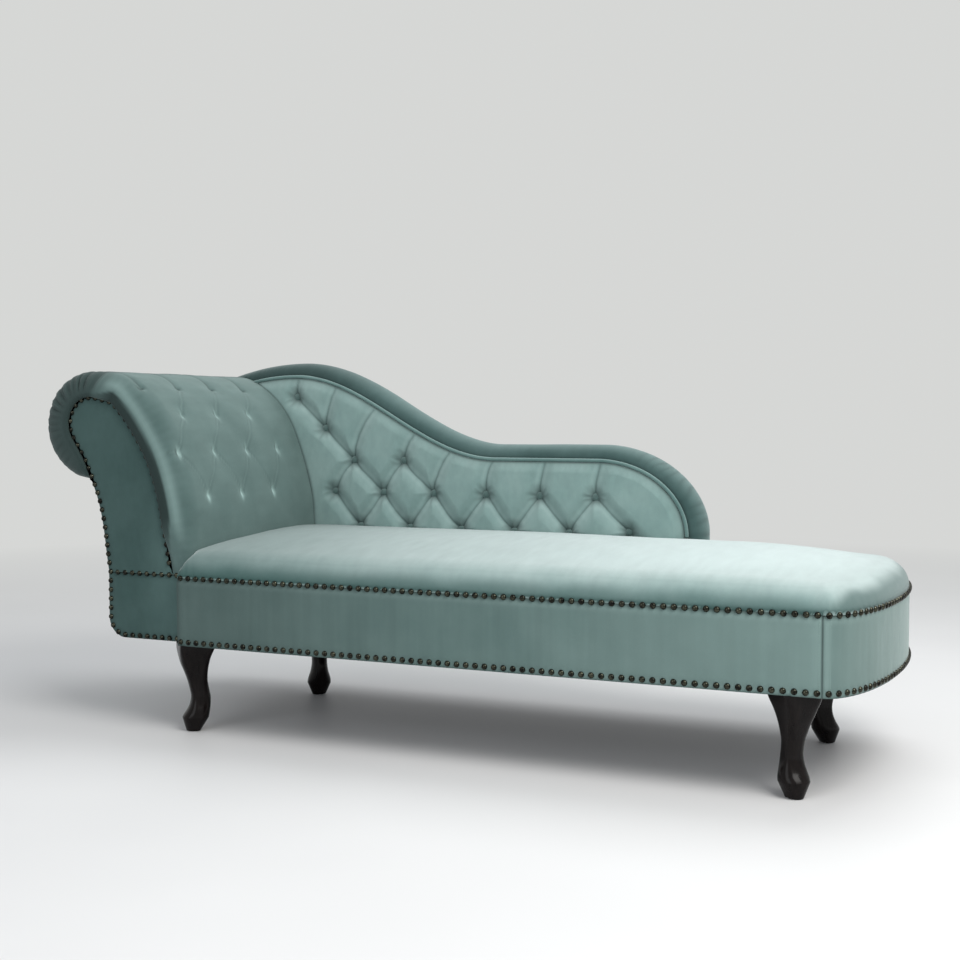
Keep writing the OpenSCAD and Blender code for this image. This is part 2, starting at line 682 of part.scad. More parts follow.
// Springs: the first and the last stand in from the arm and from the foot corner
spring_in = 40;
spring_out = 84;
spring_pitch = (seat_l - spring_in - spring_out) / (springs - 1);
clip_l = 14;
clip_w = 12;
clip_t = 1;
clip_y0 = y_front + cloth + board - clip_l / 2;
clip_y1 = y_spring + clip_l / 2;
wire_z = rail_top + 2 * sheet_t;
bars = floor((clip_y1 - clip_y0) / bar_pitch / 2) * 2;
bar_step = (clip_y1 - clip_y0) / bars;
wire_sides = 5;
// Zigzag wire: a half turn at the end of each bar, to one side and the other by turns
module one_spring() {
  r = bar_step / 2;
  side = bar_l / 2;
  wire = concat([[-side, 0]],
    [for (i = [0 : bars - 1]) for (a = [-90, -30, 30, 90]) let (s = i % 2 == 0 ? 1 : -1)
      [s * (side + r * cos(a)), (i + 0.5) * bar_step + r * sin(a)]],
    [[side, bars * bar_step]]);
  loft([for (i = [0 : len(wire) - 1]) let (h = heading(wire, i)) [for (k = [wire_sides - 1 : -1 : 0])
    let (a = 360 * k / wire_sides, c = wire_d / 2 * cos(a))
    [wire[i][0] - c * h[1], wire[i][1] + c * h[0], wire_d / 2 * sin(a)]]]);
}
module seat_springs() {
  color(steel) for (i = [0 : springs - 1])
    translate([x_seam + spring_in + i * spring_pitch, clip_y0, wire_z]) one_spring();
}

module spring_clips() {
  tall = 2 * sheet_t + wire_d / 2 + clip_t;
  color(steel) for (i = [0 : springs - 1]) for (y = [clip_y0, clip_y1])
    translate([x_seam + spring_in + i * spring_pitch - clip_w / 2, y, rail_top]) difference() {
      translate([0, -clip_l / 2, 0]) cube([clip_w, clip_l, tall]);
      translate([-overrun, 0, 2 * sheet_t]) rotate([0, 90, 0]) cylinder(h = 2 * overrun, d = wire_d + gap);
    }
}

cloth_z = rail_top + 2 * sheet_t + wire_d / 2 + clip_t + gap;
deck_t = 1;
foam_z = cloth_z + deck_t;
seat_rear = y_pad - gap;
deck_inset = cloth + board - clip_l - clip_t;
foam_inset = edge_w - cloth;
// Plan of a layer in the seat with a clearance c: closed in front of the arm, notched behind the back's end
notch_x = x_end + border_h + 2 * gap;
function layer(inset, c) = let (x0 = x_seam + gap, x1 = x_seam + cloth + c, y0 = y_front + inset + c) concat(
  [[x0, seat_rear]], y0 > y_arm + c ? [[x0, y0]] : [[x0, y_arm + c], [x1, y_arm + c], [x1, y0]],
  bow_line(inset + c), [[notch_x + cloth + c, y_rear - inset - c], [notch_x + cloth + c, seat_rear]]);
module spring_cloth() {
  color("burlywood") slab(layer(deck_inset, gap), cloth_z, foam_z);
}

module seat_foam() {
  color(foam_colour) slab(layer(foam_inset, gap), foam_z, foam_z + foam_t);
}

// Height of the seat at an inset from its long edges and from the bowed end
crown_w = 320;
tuck_w = 45;
function seat_height(v, x, x_out) =
  let (d = half_d * (1 - abs(v)), e = x_out - x, t = min(1, e / crown_w), y = y_mid + half_d * v)
  nail_z + edge_h * min(swell(d, edge_w), swell(e, edge_w)) + crown_h * (1 - v * v) * (1 - pow(1 - t, 2))
    - tuck_h * (1 - v * v) * (exp(-(x - x_seam) / tuck_w)
      + (x < notch_x ? exp(-max(0, seat_rear - y) / tuck_w) : 0));
seat_rows = bow_steps;
edge_shares = [0, 0.04, 0.15, 0.33, 0.58, 0.85, 1.2, 1.8, 2.7, 4];
flat_cols = 12;
module seat_crown() {
  function out_x(a) = x_foot + bow * cos(a);
  ends = [for (s = edge_shares) s * edge_w];
  reach = ends[len(ends) - 1];
  function col_at(i, a) = i <= flat_cols ? lerp(x_seam + gap, out_x(a) - reach, pow(i / flat_cols, 1.2))
    : out_x(a) - ends[len(ends) - 1 - (i - flat_cols)];
  cols = flat_cols + len(ends) - 1;
  w = seat_rows + 1;
  pts = [for (i = [0 : cols]) for (j = [0 : seat_rows])
    let (a = lerp(-90, 90, j / seat_rows), x = col_at(i, a))
      [x, y_mid + half_d * sin(a), seat_height(sin(a), x, out_x(a))]];
  half = seat_rows / 2;
  polyhedron(points = pts, faces = [
    for (i = [0 : cols - 1]) for (j = [0 : seat_rows - 1]) let (a = i * w + j)
      each [[a, a + 1, a + w + 1], [a, a + w + 1, a + w]],
    for (i = [0 : cols - 1]) let (a = i * w, b = a + seat_rows)
      each [[a, a + w, b + w], [a, b + w, b]],
    for (end = [0, cols * w]) for (j = [0 : half - 1])
      let (a = end + j, b = end + seat_rows - j,
        two = j == half - 1 ? [[a, b, a + 1]] : [[a, b, a + 1], [a + 1, b, b - 1]])
      each end == 0 ? two : [for (f = two) [f[0], f[2], f[1]]]
  ], convexity = 10);
}

module seat_cover() {
  color(velvet_pale) difference() {
    seat_crown();
    slab(concat([[x_seam - overrun, y_rear - cloth + gap], [x_seam - overrun, y_arm],
      [x_seam + cloth - gap, y_arm], [x_seam + cloth - gap, y_front + cloth - gap]], bow_line(cloth - gap)),
      nail_z - overrun, rail_top + gap);
    slab(layer(deck_inset, 0), rail_top - gap, foam_z + gap);
    slab(layer(foam_inset, 0), foam_z, foam_z + foam_t + gap);
    bar([x_seam - overrun, seat_rear, base_z], [notch_x, y_rear + overrun, arm_h]);
  }
}

module front_cover() {
  color(velvet_mid) slab([[x_seam, y_arm - gap], [x_seam, y_front], [x_foot, y_front],
    [x_foot, y_front + cloth], [x_seam + cloth, y_front + cloth], [x_seam + cloth, y_arm - gap]],
    base_z, nail_z);
}

module foot_cover() {
  color(velvet_mid) slab(concat(bow_line(0), backwards(bow_line(cloth))), base_z, nail_z);
}

module dust_cover() {
  d = cloth + 2 * gap;
  color(black_cloth) difference() {
    slab(concat([[heel_c[0], y_rear - d], [heel_c[0], y_arm + d], [x_seam + d, y_arm + d],
      [x_seam + d, y_front + d]], bow_line(d)), base_z, base_z + sheet_t);
    for (p = leg_places) translate([p[0], p[1], base_z - overrun]) cylinder(h = 2 * overrun, d = barrel_d);
  }
}

// Nails

module nail() {
  rho = (nail_d * nail_d / 4 + nail_h * nail_h) / (2 * nail_h);
  rotate_extrude($fn = 20) intersection() {
    translate([0, nail_h - rho]) circle(rho, $fn = 48);
    square([nail_d, nail_h]);
  }
}

// A row of nails round the seat at one height
seat_path = concat([[x_seam, y_front]], bow_line(0));
module seat_row(z) {
  l = distances(seat_path);
  total = l[len(l) - 1] - nail_d;
  count = round(total / nail_pitch);
  for (i = [0 : count - 1]) {
    s = (i + 0.5) * total / count;
    p = spot(seat_path, l, s);
    c = course(seat_path, l, s);
    translate([p[0], p[1], z]) rotate([0, 0, atan2(-c[0], c[1])]) rotate([0, 90, 0]) nail();
  }
}

low_row_up = 8;
low_row_z = base_z + low_row_up;
module seat_nails() {
  color(brass) seat_row(nail_z);
}

module base_nails() {
  color(brass) seat_row(low_row_z);
}

module face_row(path) {
  l = distances(path);
  total = l[len(l) - 1];
  count = round(total / nail_pitch);
  for (i = [0 : count]) {
    p = spot(path, l, total * i / count);
    translate([p[0], y_arm, p[1]]) rotate([90, 0, 0]) nail();
  }
}

module facing_nails() {
  color(brass) face_row([for (i = [1 : len(facing_line) - 1]) facing_line[i]]);
}

module arm_base_nails() {
  color(brass) {
    face_row([[x_seam - nail_d, nail_z], [x_heel + nail_pitch, nail_z]]);
    face_row(concat([[x_heel, nail_z - nail_pitch]], heel(0), [[x_seam - nail_d, base_z + facing_edge]]));
  }
}

// Countersunk screws of the frame, each driven along Y before it is turned
screw_d = 5;
screw_l = 45;
screw_head_d = 10;
screw_head_h = 3;
drive_w = 2.5;
drive_deep = 2;
module screw_form(c) {
  rotate([-90, 0, 0]) rotate_extrude($fn = 24)
    polygon([[0, 0], [screw_head_d / 2 + c, 0], [screw_d / 2 + c, screw_head_h],
      [screw_d / 2 + c, screw_l - screw_d], [0, screw_l + c]]);
}
// Each place holds the middle of the head, on the face of its board, and the turn
low_screw_up = 22;
high_screw_up = 64;
screw_zs = [rail_z + low_screw_up, rail_z + high_screw_up];
cross_screws = [for (x = inner_cross_x) for (z = screw_zs) each
  [[[x + board / 2, y_front + cloth, z], 0], [[x + board / 2, y_board, z], 180]]];
arm_screw_places = [[scroll_c[0], scroll_c[1]], [tack_bar[0] - board / 2, tack_bar[1]],
  [throat_bar[0] + board / 2, throat_bar[1] - board / 2], [x_seam - board / 2, screw_zs[0]],
  [x_seam - board / 2, screw_zs[1]]];
arm_screws = [for (p = arm_screw_places) each
  [[[p[0], y_arm + cloth, p[1]], 0], [[p[0], y_rear - cloth, p[1]], 180]]];
upright_screws = [for (x = upright_x) for (z = screw_zs) [[x + upright_w / 2, y_rear - cloth, z], 180]];
// Two screws in each corner block, at shares of its width that clear the leg bolt
near_bolt_shares = [0.4, 0.85];
block_screw_shares = [0.15, 0.85];
block_mid_z = rail_z + block_h / 2;
block_screws = concat(
  [for (s = near_bolt_shares) [[block_los[0][0] + s * leg_block, y_front + cloth, block_mid_z], 0]],
  [for (s = block_screw_shares) [[block_los[1][0] + s * leg_block, y_front + cloth, block_mid_z], 0]],
  [for (s = block_screw_shares) [[x_seam - board, block_los[2][1] + s * leg_block, block_mid_z], -90]],
  [for (s = block_screw_shares) [[foot_cross_x, block_los[3][1] + s * leg_block, block_mid_z], -90]]);
module screws_at(places, c) {
  for (p = places) translate(p[0]) rotate([0, 0, p[1]]) screw_form(c);
}

module frame_screws() {
  places = concat(cross_screws, arm_screws, upright_screws, block_screws);
  color(steel) difference() {
    screws_at(places, 0);
    for (p = places) translate(p[0]) rotate([0, 0, p[1]])
      translate([-drive_w / 2, -drive_deep, -drive_w / 2]) cube([drive_w, 2 * drive_deep, drive_w]);
  }
}

// Legs: half widths along the toe and across it, from the block down to the foot
// Each row holds shares: height, toe side, heel side, width, squareness
leg_shares = [
  [1, 0.57, 0.57, 0.50, 9], [0.93, 0.57, 0.49, 0.48, 7], [0.85, 0.55, 0.41, 0.435, 5],
  [0.77, 0.50, 0.37, 0.385, 4], [0.69, 0.41, 0.35, 0.35, 3.4], [0.61, 0.33, 0.34, 0.32, 3],
  [0.54, 0.275, 0.355, 0.285, 2.7],
  [0.46, 0.22, 0.40, 0.272, 2.5], [0.39, 0.185, 0.44, 0.28, 2.4], [0.31, 0.22, 0.445, 0.32, 2.3],
  [0.24, 0.31, 0.425, 0.39, 2.2], [0.19, 0.40, 0.40, 0.42, 2.2], [0.15, 0.47, 0.38, 0.40, 2.2],
  [0.09, 0.435, 0.28, 0.30, 2.2], [0, 0.33, 0.05, 0.20, 2.2]];
glide_t = 1.5;
leg_sides = 20;
module leg_solid() {
  tall = base_z - glide_t;
  rings = [for (s = leg_shares) [for (k = [0 : leg_sides - 1])
    let (a = 360 * (k + 0.5) / leg_sides, q = 2 / s[4], c = cos(a), n = sin(a),
      u = sign(c) * pow(abs(c), q), w = sign(n) * pow(abs(n), q))
    [leg_w * (u > 0 ? s[1] : s[2]) * u, leg_w * s[3] * w, glide_t + tall * s[0]]]];
  loft(rings);
}
bolt_depth = 35;
module leg(i) {
  color(espresso) translate([leg_places[i][0], leg_places[i][1], 0]) rotate([0, 0, leg_turns[i]])
    difference() {
      leg_solid();
      translate([0, 0, base_z - bolt_depth]) cylinder(h = bolt_depth + overrun, d = bolt_d + gap);
    }
}

module leg_bolts() {
  color(steel) for (p = leg_places) translate([p[0], p[1], base_z - bolt_depth + gap])
    cylinder(h = bolt_depth + block_h + sheet_t, d = bolt_d);
}

module t_nuts() {
  flange_t = 2;
  barrel_l = 14;
  flange_d = 20;
  color(steel) for (p = leg_places) translate([p[0], p[1], rail_z + block_h]) difference() {
    union() {
      cylinder(h = flange_t, d = flange_d);
      translate([0, 0, -barrel_l]) cylinder(h = barrel_l + flange_t / 2, d = barrel_d);
    }
    translate([0, 0, -overrun]) cylinder(h = 2 * overrun, d = bolt_d + gap);
  }
}

glide_in_share = 0.14;
glide_share = 0.34;
module foot_glides() {
  color("dimgray") for (i = [0 : 3])
    translate([leg_places[i][0], leg_places[i][1], 0]) rotate([0, 0, leg_turns[i]])
      translate([leg_w * glide_in_share, 0, 0]) cylinder(h = glide_t, d = leg_w * glide_share);
}

front_rail();
rear_rail();
foot_rail();
head_rail();
cross_rails();
leg_blocks();
arm_front_post();
arm_rear_post();
arm_stretchers();
arm_lining();
back_top_rail();
back_tack_rail();
back_uprights();
back_webbing();
back_foam();
back_cover();
back_border();
back_piping();
back_buttons();
rear_cover();
spring_rail();
seat_springs();
spring_clips();
spring_cloth();
seat_foam();
seat_cover();
front_cover();
foot_cover();
arm_padding();
arm_facing();
arm_base_cover();
arm_outer_cover();
dust_cover();
seat_nails();
base_nails();
facing_nails();
arm_base_nails();
leg(0);  // leg_front_arm
leg(1);  // leg_front_foot
leg(2);  // leg_rear_arm
leg(3);  // leg_rear_foot
leg_bolts();
t_nuts();
foot_glides();
frame_screws();
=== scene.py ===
# Fainting couch in sage velvet: scroll arm, tufted serpentine back, bowed foot end, cabriole legs.
# Metres. X runs from the arm to the foot end, the front faces -Y, Z is up.
import math

import bmesh
import bpy
import numpy as np
from mathutils import Matrix, Vector


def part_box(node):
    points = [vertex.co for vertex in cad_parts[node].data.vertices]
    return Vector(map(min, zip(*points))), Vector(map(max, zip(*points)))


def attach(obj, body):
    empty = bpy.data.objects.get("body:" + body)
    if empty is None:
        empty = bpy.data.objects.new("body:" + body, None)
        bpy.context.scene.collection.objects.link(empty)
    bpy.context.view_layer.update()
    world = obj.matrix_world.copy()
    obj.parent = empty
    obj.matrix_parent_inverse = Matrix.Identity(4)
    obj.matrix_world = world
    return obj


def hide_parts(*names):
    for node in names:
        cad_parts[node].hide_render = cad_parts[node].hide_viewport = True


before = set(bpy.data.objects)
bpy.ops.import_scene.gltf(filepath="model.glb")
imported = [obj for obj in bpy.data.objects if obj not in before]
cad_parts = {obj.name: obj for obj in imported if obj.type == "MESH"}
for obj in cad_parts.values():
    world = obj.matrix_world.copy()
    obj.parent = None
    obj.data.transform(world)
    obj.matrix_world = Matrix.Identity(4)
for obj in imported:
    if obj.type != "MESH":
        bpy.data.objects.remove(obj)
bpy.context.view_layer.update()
bpy.ops.object.select_all(action="DESELECT")
MM = 0.001

# Main planes, read from the frame
base_lo, base_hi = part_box("front_cover")
foot_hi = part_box("foot_cover")[1]
arm_lo, arm_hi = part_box("arm_padding")
x_seam, x_foot = base_lo.x, base_hi.x
y_front, y_rear = base_lo.y, foot_hi.y
y_mid, half_d = (y_front + y_rear) / 2, (y_rear - y_front) / 2
base_z, nail_z = base_lo.z, base_hi.z
bow = foot_hi.x - x_foot
x_left, arm_h = arm_lo.x, arm_hi.z
y_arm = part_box("arm_facing")[0].y
seat_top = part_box("seat_cover")[1].z
y_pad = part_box("back_cover")[0].y
x_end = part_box("back_cover")[1].x
y_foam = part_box("back_foam")[0].y

# Sizes of the forms, as the frame has them
cloth, gap = 3 * MM, 0.3 * MM
edge_h, edge_w, crown_h, crown_w = 42 * MM, 55 * MM, 39 * MM, 320 * MM
roll_r, scroll_r, heel_r = 110 * MM, 54 * MM, 35 * MM
facing_edge, arm_round, arm_pitch = 6 * MM, 40 * MM, 118 * MM
border_h, border_y0, piping_d = 36 * MM, y_pad + 17 * MM, 8 * MM
tuft_pitch, tuft_rise, tuft_lean = 124.6 * MM, 70.5 * MM, 12 * MM
nail_d, nail_pitch = 11 * MM, 18 * MM
low_row_z = base_z + 8 * MM
rail_top = nail_z + 6 * MM
seat_rear, notch_x = y_pad - gap, x_end + border_h + 2 * gap

# Curves on numpy arrays


def catmull(points, steps):
    """Smooth curve through points, with this many steps from each to the next."""
    p = np.array(points, float)
    out = []
    for i in range(len(p) - 1):
        a, b, c, d = p[max(i - 1, 0)], p[i], p[i + 1], p[min(i + 2, len(p) - 1)]
        for k in range(steps):
            t = k / steps
            out.append((2 * b + (c - a) * t + (2 * a - 5 * b + 4 * c - d) * t ** 2
                        + (3 * b - a - 3 * c + d) * t ** 3) / 2)
    return np.array(out + [p[-1]])


def arc(centre, r, a0, a1, n):
    a = np.radians(np.linspace(a0, a1, n + 1))
    return np.array(centre) + r * np.stack([np.cos(a), np.sin(a)], 1)


def chord(r, d):
    """Half the width of a circle at a distance from its middle, 0 outside it."""
    return np.sqrt(np.clip(r * r - d * d, 0, None))


def lengths(line):
    """How far along a line each of its points is."""
    return np.concatenate([[0], np.cumsum(np.linalg.norm(np.diff(line, axis=0), axis=1))])


def along_line(line, t):
    """Points of a line that lie these lengths along it."""
    s = lengths(line)
    return np.stack([np.interp(t, s, line[:, k]) for k in range(line.shape[1])], -1)


def resample(line, step):
    total = lengths(line)[-1]
    return along_line(line, np.linspace(0, total, max(2, int(round(total / step)) + 1)))


def right_of(line):
    """Unit ways to the right of a plane line, at its points."""
    d = np.gradient(line, axis=0)
    h = d / np.linalg.norm(d, axis=1)[:, None]
    return np.stack([h[:, 1], -h[:, 0]], 1)


def moved(line, d):
    return line + d * right_of(line)


def to_segment(x, z, a, b):
    """Distance of points from a segment, and the share of the way along it."""
    d = (b[0] - a[0], b[1] - a[1])
    t = np.clip(((x - a[0]) * d[0] + (z - a[1]) * d[1]) / (d[0] ** 2 + d[1] ** 2), 0, 1)
    return np.hypot(x - a[0] - t * d[0], z - a[1] - t * d[1]), t


def to_line(x, y, line):
    """Distance of points from an open line of points."""
    best = np.full(np.shape(x), 1e9)
    for a, b in zip(line[:-1], line[1:]):
        best = np.minimum(best, to_segment(x, y, a, b)[0])
    return best


def bell(u):
    return np.exp(-u * u)


def step_up(u):
    u = np.clip(u, 0, 1)
    return u * u * (3 - 2 * u)


def peak(d, width, at=0):
    """Bell of a width around a distance, both given in millimetres."""
    return bell((d - at * MM) / (width * MM))


def past(d, start, over):
    """Share that rises from 0 at a distance to 1 this much further on, both in millimetres."""
    return step_up((d - start * MM) / (over * MM))


def ripple(s, pitch, ahead=0):
    """Waves between 0 and 1 that repeat at a pitch."""
    return 0.5 - 0.5 * np.cos(2 * np.pi * s / pitch + ahead)


def swell(u):
    """Quarter round: from 0 at the edge to 1 where the surface levels out."""
    return chord(1, 1 - np.clip(u, 0, 1))


def full_round(u):
    """Stuffed edge: steep at its foot and then soon level."""
    return (1 - (1 - np.clip(u, 0, 1)) ** 2.4) ** (1 / 2.4)


def eased(count):
    """Shares from 0 to 1 that lie closer together at both ends."""
    return (1 - np.cos(np.linspace(0, np.pi, count))) / 2


def either(*shares):
    """Shares from 0 to 1 laid over each other."""
    left = 1
    for share in shares:
        left = left * (1 - share)
    return 1 - left


def wander(seed, x, y, cell):
    """Smooth random height between -1 and 1, from a fixed seed, over cells of that size."""
    table = np.random.default_rng(seed).uniform(-1, 1, (64, 64))
    u, v = x / cell, y / cell
    i, j = np.floor(u).astype(int), np.floor(v).astype(int)
    a, b = step_up(u - i), step_up(v - j)
    pick = lambda di, dj: table[(i + di) % 64, (j + dj) % 64]
    return (pick(0, 0) * (1 - a) + pick(1, 0) * a) * (1 - b) + (pick(0, 1) * (1 - a) + pick(1, 1) * a) * b


# Materials


def feed(tree, node, inputs):
    """Gives a node its inputs, by name or number: a value, or a socket to link from."""
    for key, value in dict(inputs).items():
        if isinstance(value, bpy.types.NodeSocket):
            tree.links.new(value, node.inputs[key])
        else:
            node.inputs[key].default_value = value


def new_node(tree, kind, inputs=(), **settings):
    node = tree.nodes.new("ShaderNode" + kind)
    for key, value in settings.items():
        setattr(node, key, value)
    feed(tree, node, inputs)
    return node


def new_finish(name):
    material = bpy.data.materials.new(name)
    material.use_nodes = True
    return material, material.node_tree, material.node_tree.nodes["Principled BSDF"]


def rgba(colour):
    """Colour that hides what is behind it, from three shares or one grey."""
    return (*np.broadcast_to(colour, 3).tolist(), 1)


def noise(tree, per_metre, detail, stretch=(1, 1, 1)):
    """Random spots, this many to a metre of the piece's own coordinates."""
    coords = new_node(tree, "TexCoord").outputs["Object"]
    mapping = new_node(tree, "Mapping", {"Vector": coords, "Scale": stretch}).outputs["Vector"]
    spots = {"Vector": mapping, "Scale": per_metre, "Detail": detail}
    return new_node(tree, "TexNoise", spots).outputs["Fac"]


def ramp(tree, source, *stops):
    """Colour that goes from the first stop to the second; each is a place and a colour."""
    node = new_node(tree, "ValToRGB", {"Fac": source})
    for element, (position, colour) in zip(node.color_ramp.elements, stops):
        element.position = position
        element.color = rgba(colour)
    return node.outputs["Color"]


def mix(tree, kind, factor, a, b):
    sides = {"Factor": factor, "A": a, "B": b}
    return new_node(tree, "Mix", sides, data_type="RGBA", blend_type=kind).outputs["Result"]


def bump(tree, height, strength, distance, under=()):
    relief = {"Strength": strength, "Distance": distance, "Height": height}
    return new_node(tree, "Bump", {**relief, **dict(under)}).outputs["Normal"]


def combine(tree, operation, a, b):
    return new_node(tree, "Math", {0: a, 1: b}, operation=operation).outputs["Value"]


def painted_share(tree, word):
    """Share of painted light, and of painted shade, that a piece has at each of its points, 0 where it has
    none.
    """
    return new_node(tree, "Attribute", attribute_name=word).outputs["Fac"]


def velvet(name, dark, light, facing=0.42, nap=0.2, sheen=0.5, stroke=(1, 0.25, 0.6), lift=1.5,
           painted_shade_colour=None):
    """Velvet: dark where the pile is seen end on, light at a slant, with patches where the nap lies
    otherwise, and painted light and painted shade from each piece's shares.
    """
    material, tree, shader = new_finish(name)
    slant = new_node(tree, "LayerWeight", {"Blend": facing}).outputs["Facing"]
    patches = ramp(tree, noise(tree, 9, 4, (1, 1.6, 1.2)), (0.35, 0.0), (0.68, 1.0))
    strokes = ramp(tree, noise(tree, 60, 5, stroke), (0.3, 0.93), (0.7, 1.04))
    pile = noise(tree, 2200, 2)
    tufts = ramp(tree, pile, (0.3, 0.88), (0.7, 1.08))
    body = mix(tree, "MIX", slant, rgba(dark), rgba(light))
    napped = mix(tree, "MIX", nap, body, rgba(light))
    patched = mix(tree, "MIX", patches, body, napped)
    stroked = mix(tree, "MULTIPLY", 1.0, patched, strokes)
    piled = mix(tree, "MULTIPLY", 1.0, stroked, tufts)
    # Painted highlight colour: the light colour raised by lift
    painted_highlight = rgba([min(0.86, lift * c) for c in light])
    with_painted_light = mix(tree, "MIX", painted_share(tree, "brushed"), piled, painted_highlight)
    # Painted shade colour: a quarter of the dark colour, unless one is given
    deep = rgba(painted_shade_colour or [0.25 * c for c in dark])
    colour = mix(tree, "MIX", painted_share(tree, "creased"), with_painted_light, deep)
    slack = bump(tree, noise(tree, 45, 3), 0.25, 1.2 * MM)
    fine = bump(tree, pile, 0.35, 0.35 * MM, {"Normal": slack})
    feed(tree, shader, {"Base Color": colour, "Roughness": 0.82, "Specular IOR Level": 0.18, "Normal": fine,
                        "Sheen Weight": sheen, "Sheen Roughness": 0.35,
                        "Sheen Tint": rgba([0.5 + 0.5 * c for c in light])})
    return material


def wood(name, dark, light, along, roughness, coat=0.0, shine=0.4):
    """Wood with its grain drawn out along one axis, 0 for X to 2 for Z."""
    material, tree, shader = new_finish(name)
    stretch = [1.0, 1.0, 1.0]
    stretch[along] = 0.06
    grain = noise(tree, 160, 6, stretch)
    rings = ramp(tree, noise(tree, 24, 3, stretch), (0.35, 0.8), (0.65, 1.0))
    colour = mix(tree, "MULTIPLY", 1.0, ramp(tree, grain, (0.3, dark), (0.7, light)), rings)
    feed(tree, shader, {"Base Color": colour, "Roughness": roughness, "Specular IOR Level": shine,
                        "Coat Weight": coat, "Coat Roughness": 0.08,
                        "Normal": bump(tree, grain, 0.12, 0.3 * MM)})
    return material


def metal(name, dark, light, roughness, spots):
    """Metal, darker and duller in its stains."""
    material, tree, shader = new_finish(name)
    stains = noise(tree, spots, 4)
    dull = ramp(tree, stains, (0.35, min(1, roughness + 0.2)), (0.65, roughness))
    feed(tree, shader, {"Base Color": ramp(tree, stains, (0.38, dark), (0.62, light)), "Metallic": 1.0,
                        "Roughness": dull, "Normal": bump(tree, stains, 0.08, 0.2 * MM)})
    return material


def plain_cloth(name, dark, light, thread_w):
    """Woven cloth: two crossed bands of threads."""
    material, tree, shader = new_finish(name)
    coords = new_node(tree, "TexCoord").outputs["Object"]
    bands = {"Vector": coords, "Scale": 1 / thread_w / 6, "Distortion": 1.5, "Detail Scale": 4}
    warp, weft = [new_node(tree, "TexWave", bands, bands_direction=way).outputs["Fac"] for way in "XY"]
    weave = combine(tree, "MAXIMUM", warp, weft)
    feed(tree, shader, {"Base Color": ramp(tree, weave, (0.2, dark), (0.9, light)), "Roughness": 0.95,
                        "Specular IOR Level": 0.1, "Normal": bump(tree, weave, 0.5, 0.4 * MM)})
    return material


def foam_material(name, colour):
    """Foam or cast plastic, darker in its pores."""
    material, tree, shader = new_finish(name)
    cells = noise(tree, 900, 3)
    pored = ramp(tree, cells, (0.3, [0.75 * c for c in colour]), (0.6, colour))
    feed(tree, shader, {"Base Color": pored, "Roughness": 0.95, "Normal": bump(tree, cells, 0.6, 0.6 * MM)})
    return material


# One velvet in lit and shaded copies: each copy's colours are made lighter or darker for how the light falls
# on its pieces, which is painted light and painted shade; the buttons' copy is darkened as painted shade in
# their pits
velvet_seat = velvet("velvet_seat", (0.185, 0.285, 0.272), (0.50, 0.580, 0.567), 0.52, sheen=0.42,
                     painted_shade_colour=(0.03, 0.08, 0.073))
velvet_back = velvet("velvet_back", (0.21, 0.320, 0.305), (0.46, 0.585, 0.56), 0.40)
velvet_arm = velvet("velvet_arm", (0.066, 0.114, 0.108), (0.187, 0.262, 0.249), sheen=0.26, lift=2.3)
velvet_button = velvet("velvet_button", (0.075, 0.125, 0.118), (0.22, 0.31, 0.295))
velvet_base = velvet("velvet_base", (0.097, 0.157, 0.148), (0.252, 0.346, 0.325), 0.35, nap=0.15,
                     stroke=(1, 1, 0.07))
velvet_facing = velvet("velvet_facing", (0.034, 0.070, 0.066), (0.10, 0.165, 0.156), 0.35)
velvet_piping = velvet("velvet_piping", (0.10, 0.18, 0.172), (0.30, 0.42, 0.40), 0.40)
velvet_border = velvet("velvet_border", (0.042, 0.083, 0.080), (0.155, 0.236, 0.227), 0.45)
velvet_rear = velvet("velvet_rear", (0.07, 0.13, 0.125), (0.20, 0.30, 0.29), 0.4)
thread = velvet("sewing_thread", (0.20, 0.29, 0.27), (0.36, 0.46, 0.44), 0.3, sheen=0.2)
nail_brass = metal("antique_brass", (0.012, 0.012, 0.011), (0.058, 0.060, 0.044), 0.13, 120)
steel = metal("zinc_steel", (0.35, 0.36, 0.37), (0.62, 0.63, 0.65), 0.35, 90)
espresso = wood("espresso_lacquer", (0.004, 0.003, 0.003), (0.010, 0.0075, 0.007), 2, 0.22, 0.06, 0.1)
pine_x, pine_y, pine_z = [wood(name, (0.52, 0.36, 0.19), (0.72, 0.55, 0.33), axis, 0.75)
                          for axis, name in enumerate(("pine_along", "pine_across", "pine_upright"))]
hardboard = wood("hardboard", (0.22, 0.14, 0.08), (0.30, 0.20, 0.12), 1, 0.8)
burlap = plain_cloth("burlap", (0.30, 0.21, 0.12), (0.58, 0.44, 0.28), 1.5 * MM)
jute = plain_cloth("jute_webbing", (0.22, 0.15, 0.08), (0.48, 0.35, 0.20), 2.0 * MM)
black_cloth = plain_cloth("black_undercloth", (0.010, 0.010, 0.011), (0.030, 0.030, 0.032), 1.0 * MM)
foam = foam_material("cushion_foam", (0.85, 0.78, 0.55))
glide_plastic = foam_material("glide_plastic", (0.03, 0.03, 0.03))

# Pieces are closed meshes, given as arrays of points


def new_object(name, data):
    obj = bpy.data.objects.new(name, data)
    bpy.context.collection.objects.link(obj)
    return obj


def only(obj):
    bpy.ops.object.select_all(action="DESELECT")
    obj.select_set(True)
    bpy.context.view_layer.objects.active = obj


def dress(obj, material, nodes=(), sharp=50):
    """Finishes a piece: its material, its smooth shading and what the frame has to know of it."""
    obj.data.materials.clear()
    obj.data.materials.append(material)
    only(obj)
    bpy.ops.object.shade_smooth_by_angle(angle=math.radians(sharp))
    obj.select_set(False)
    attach(obj, "root")
    if nodes:
        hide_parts(*nodes)
    return obj


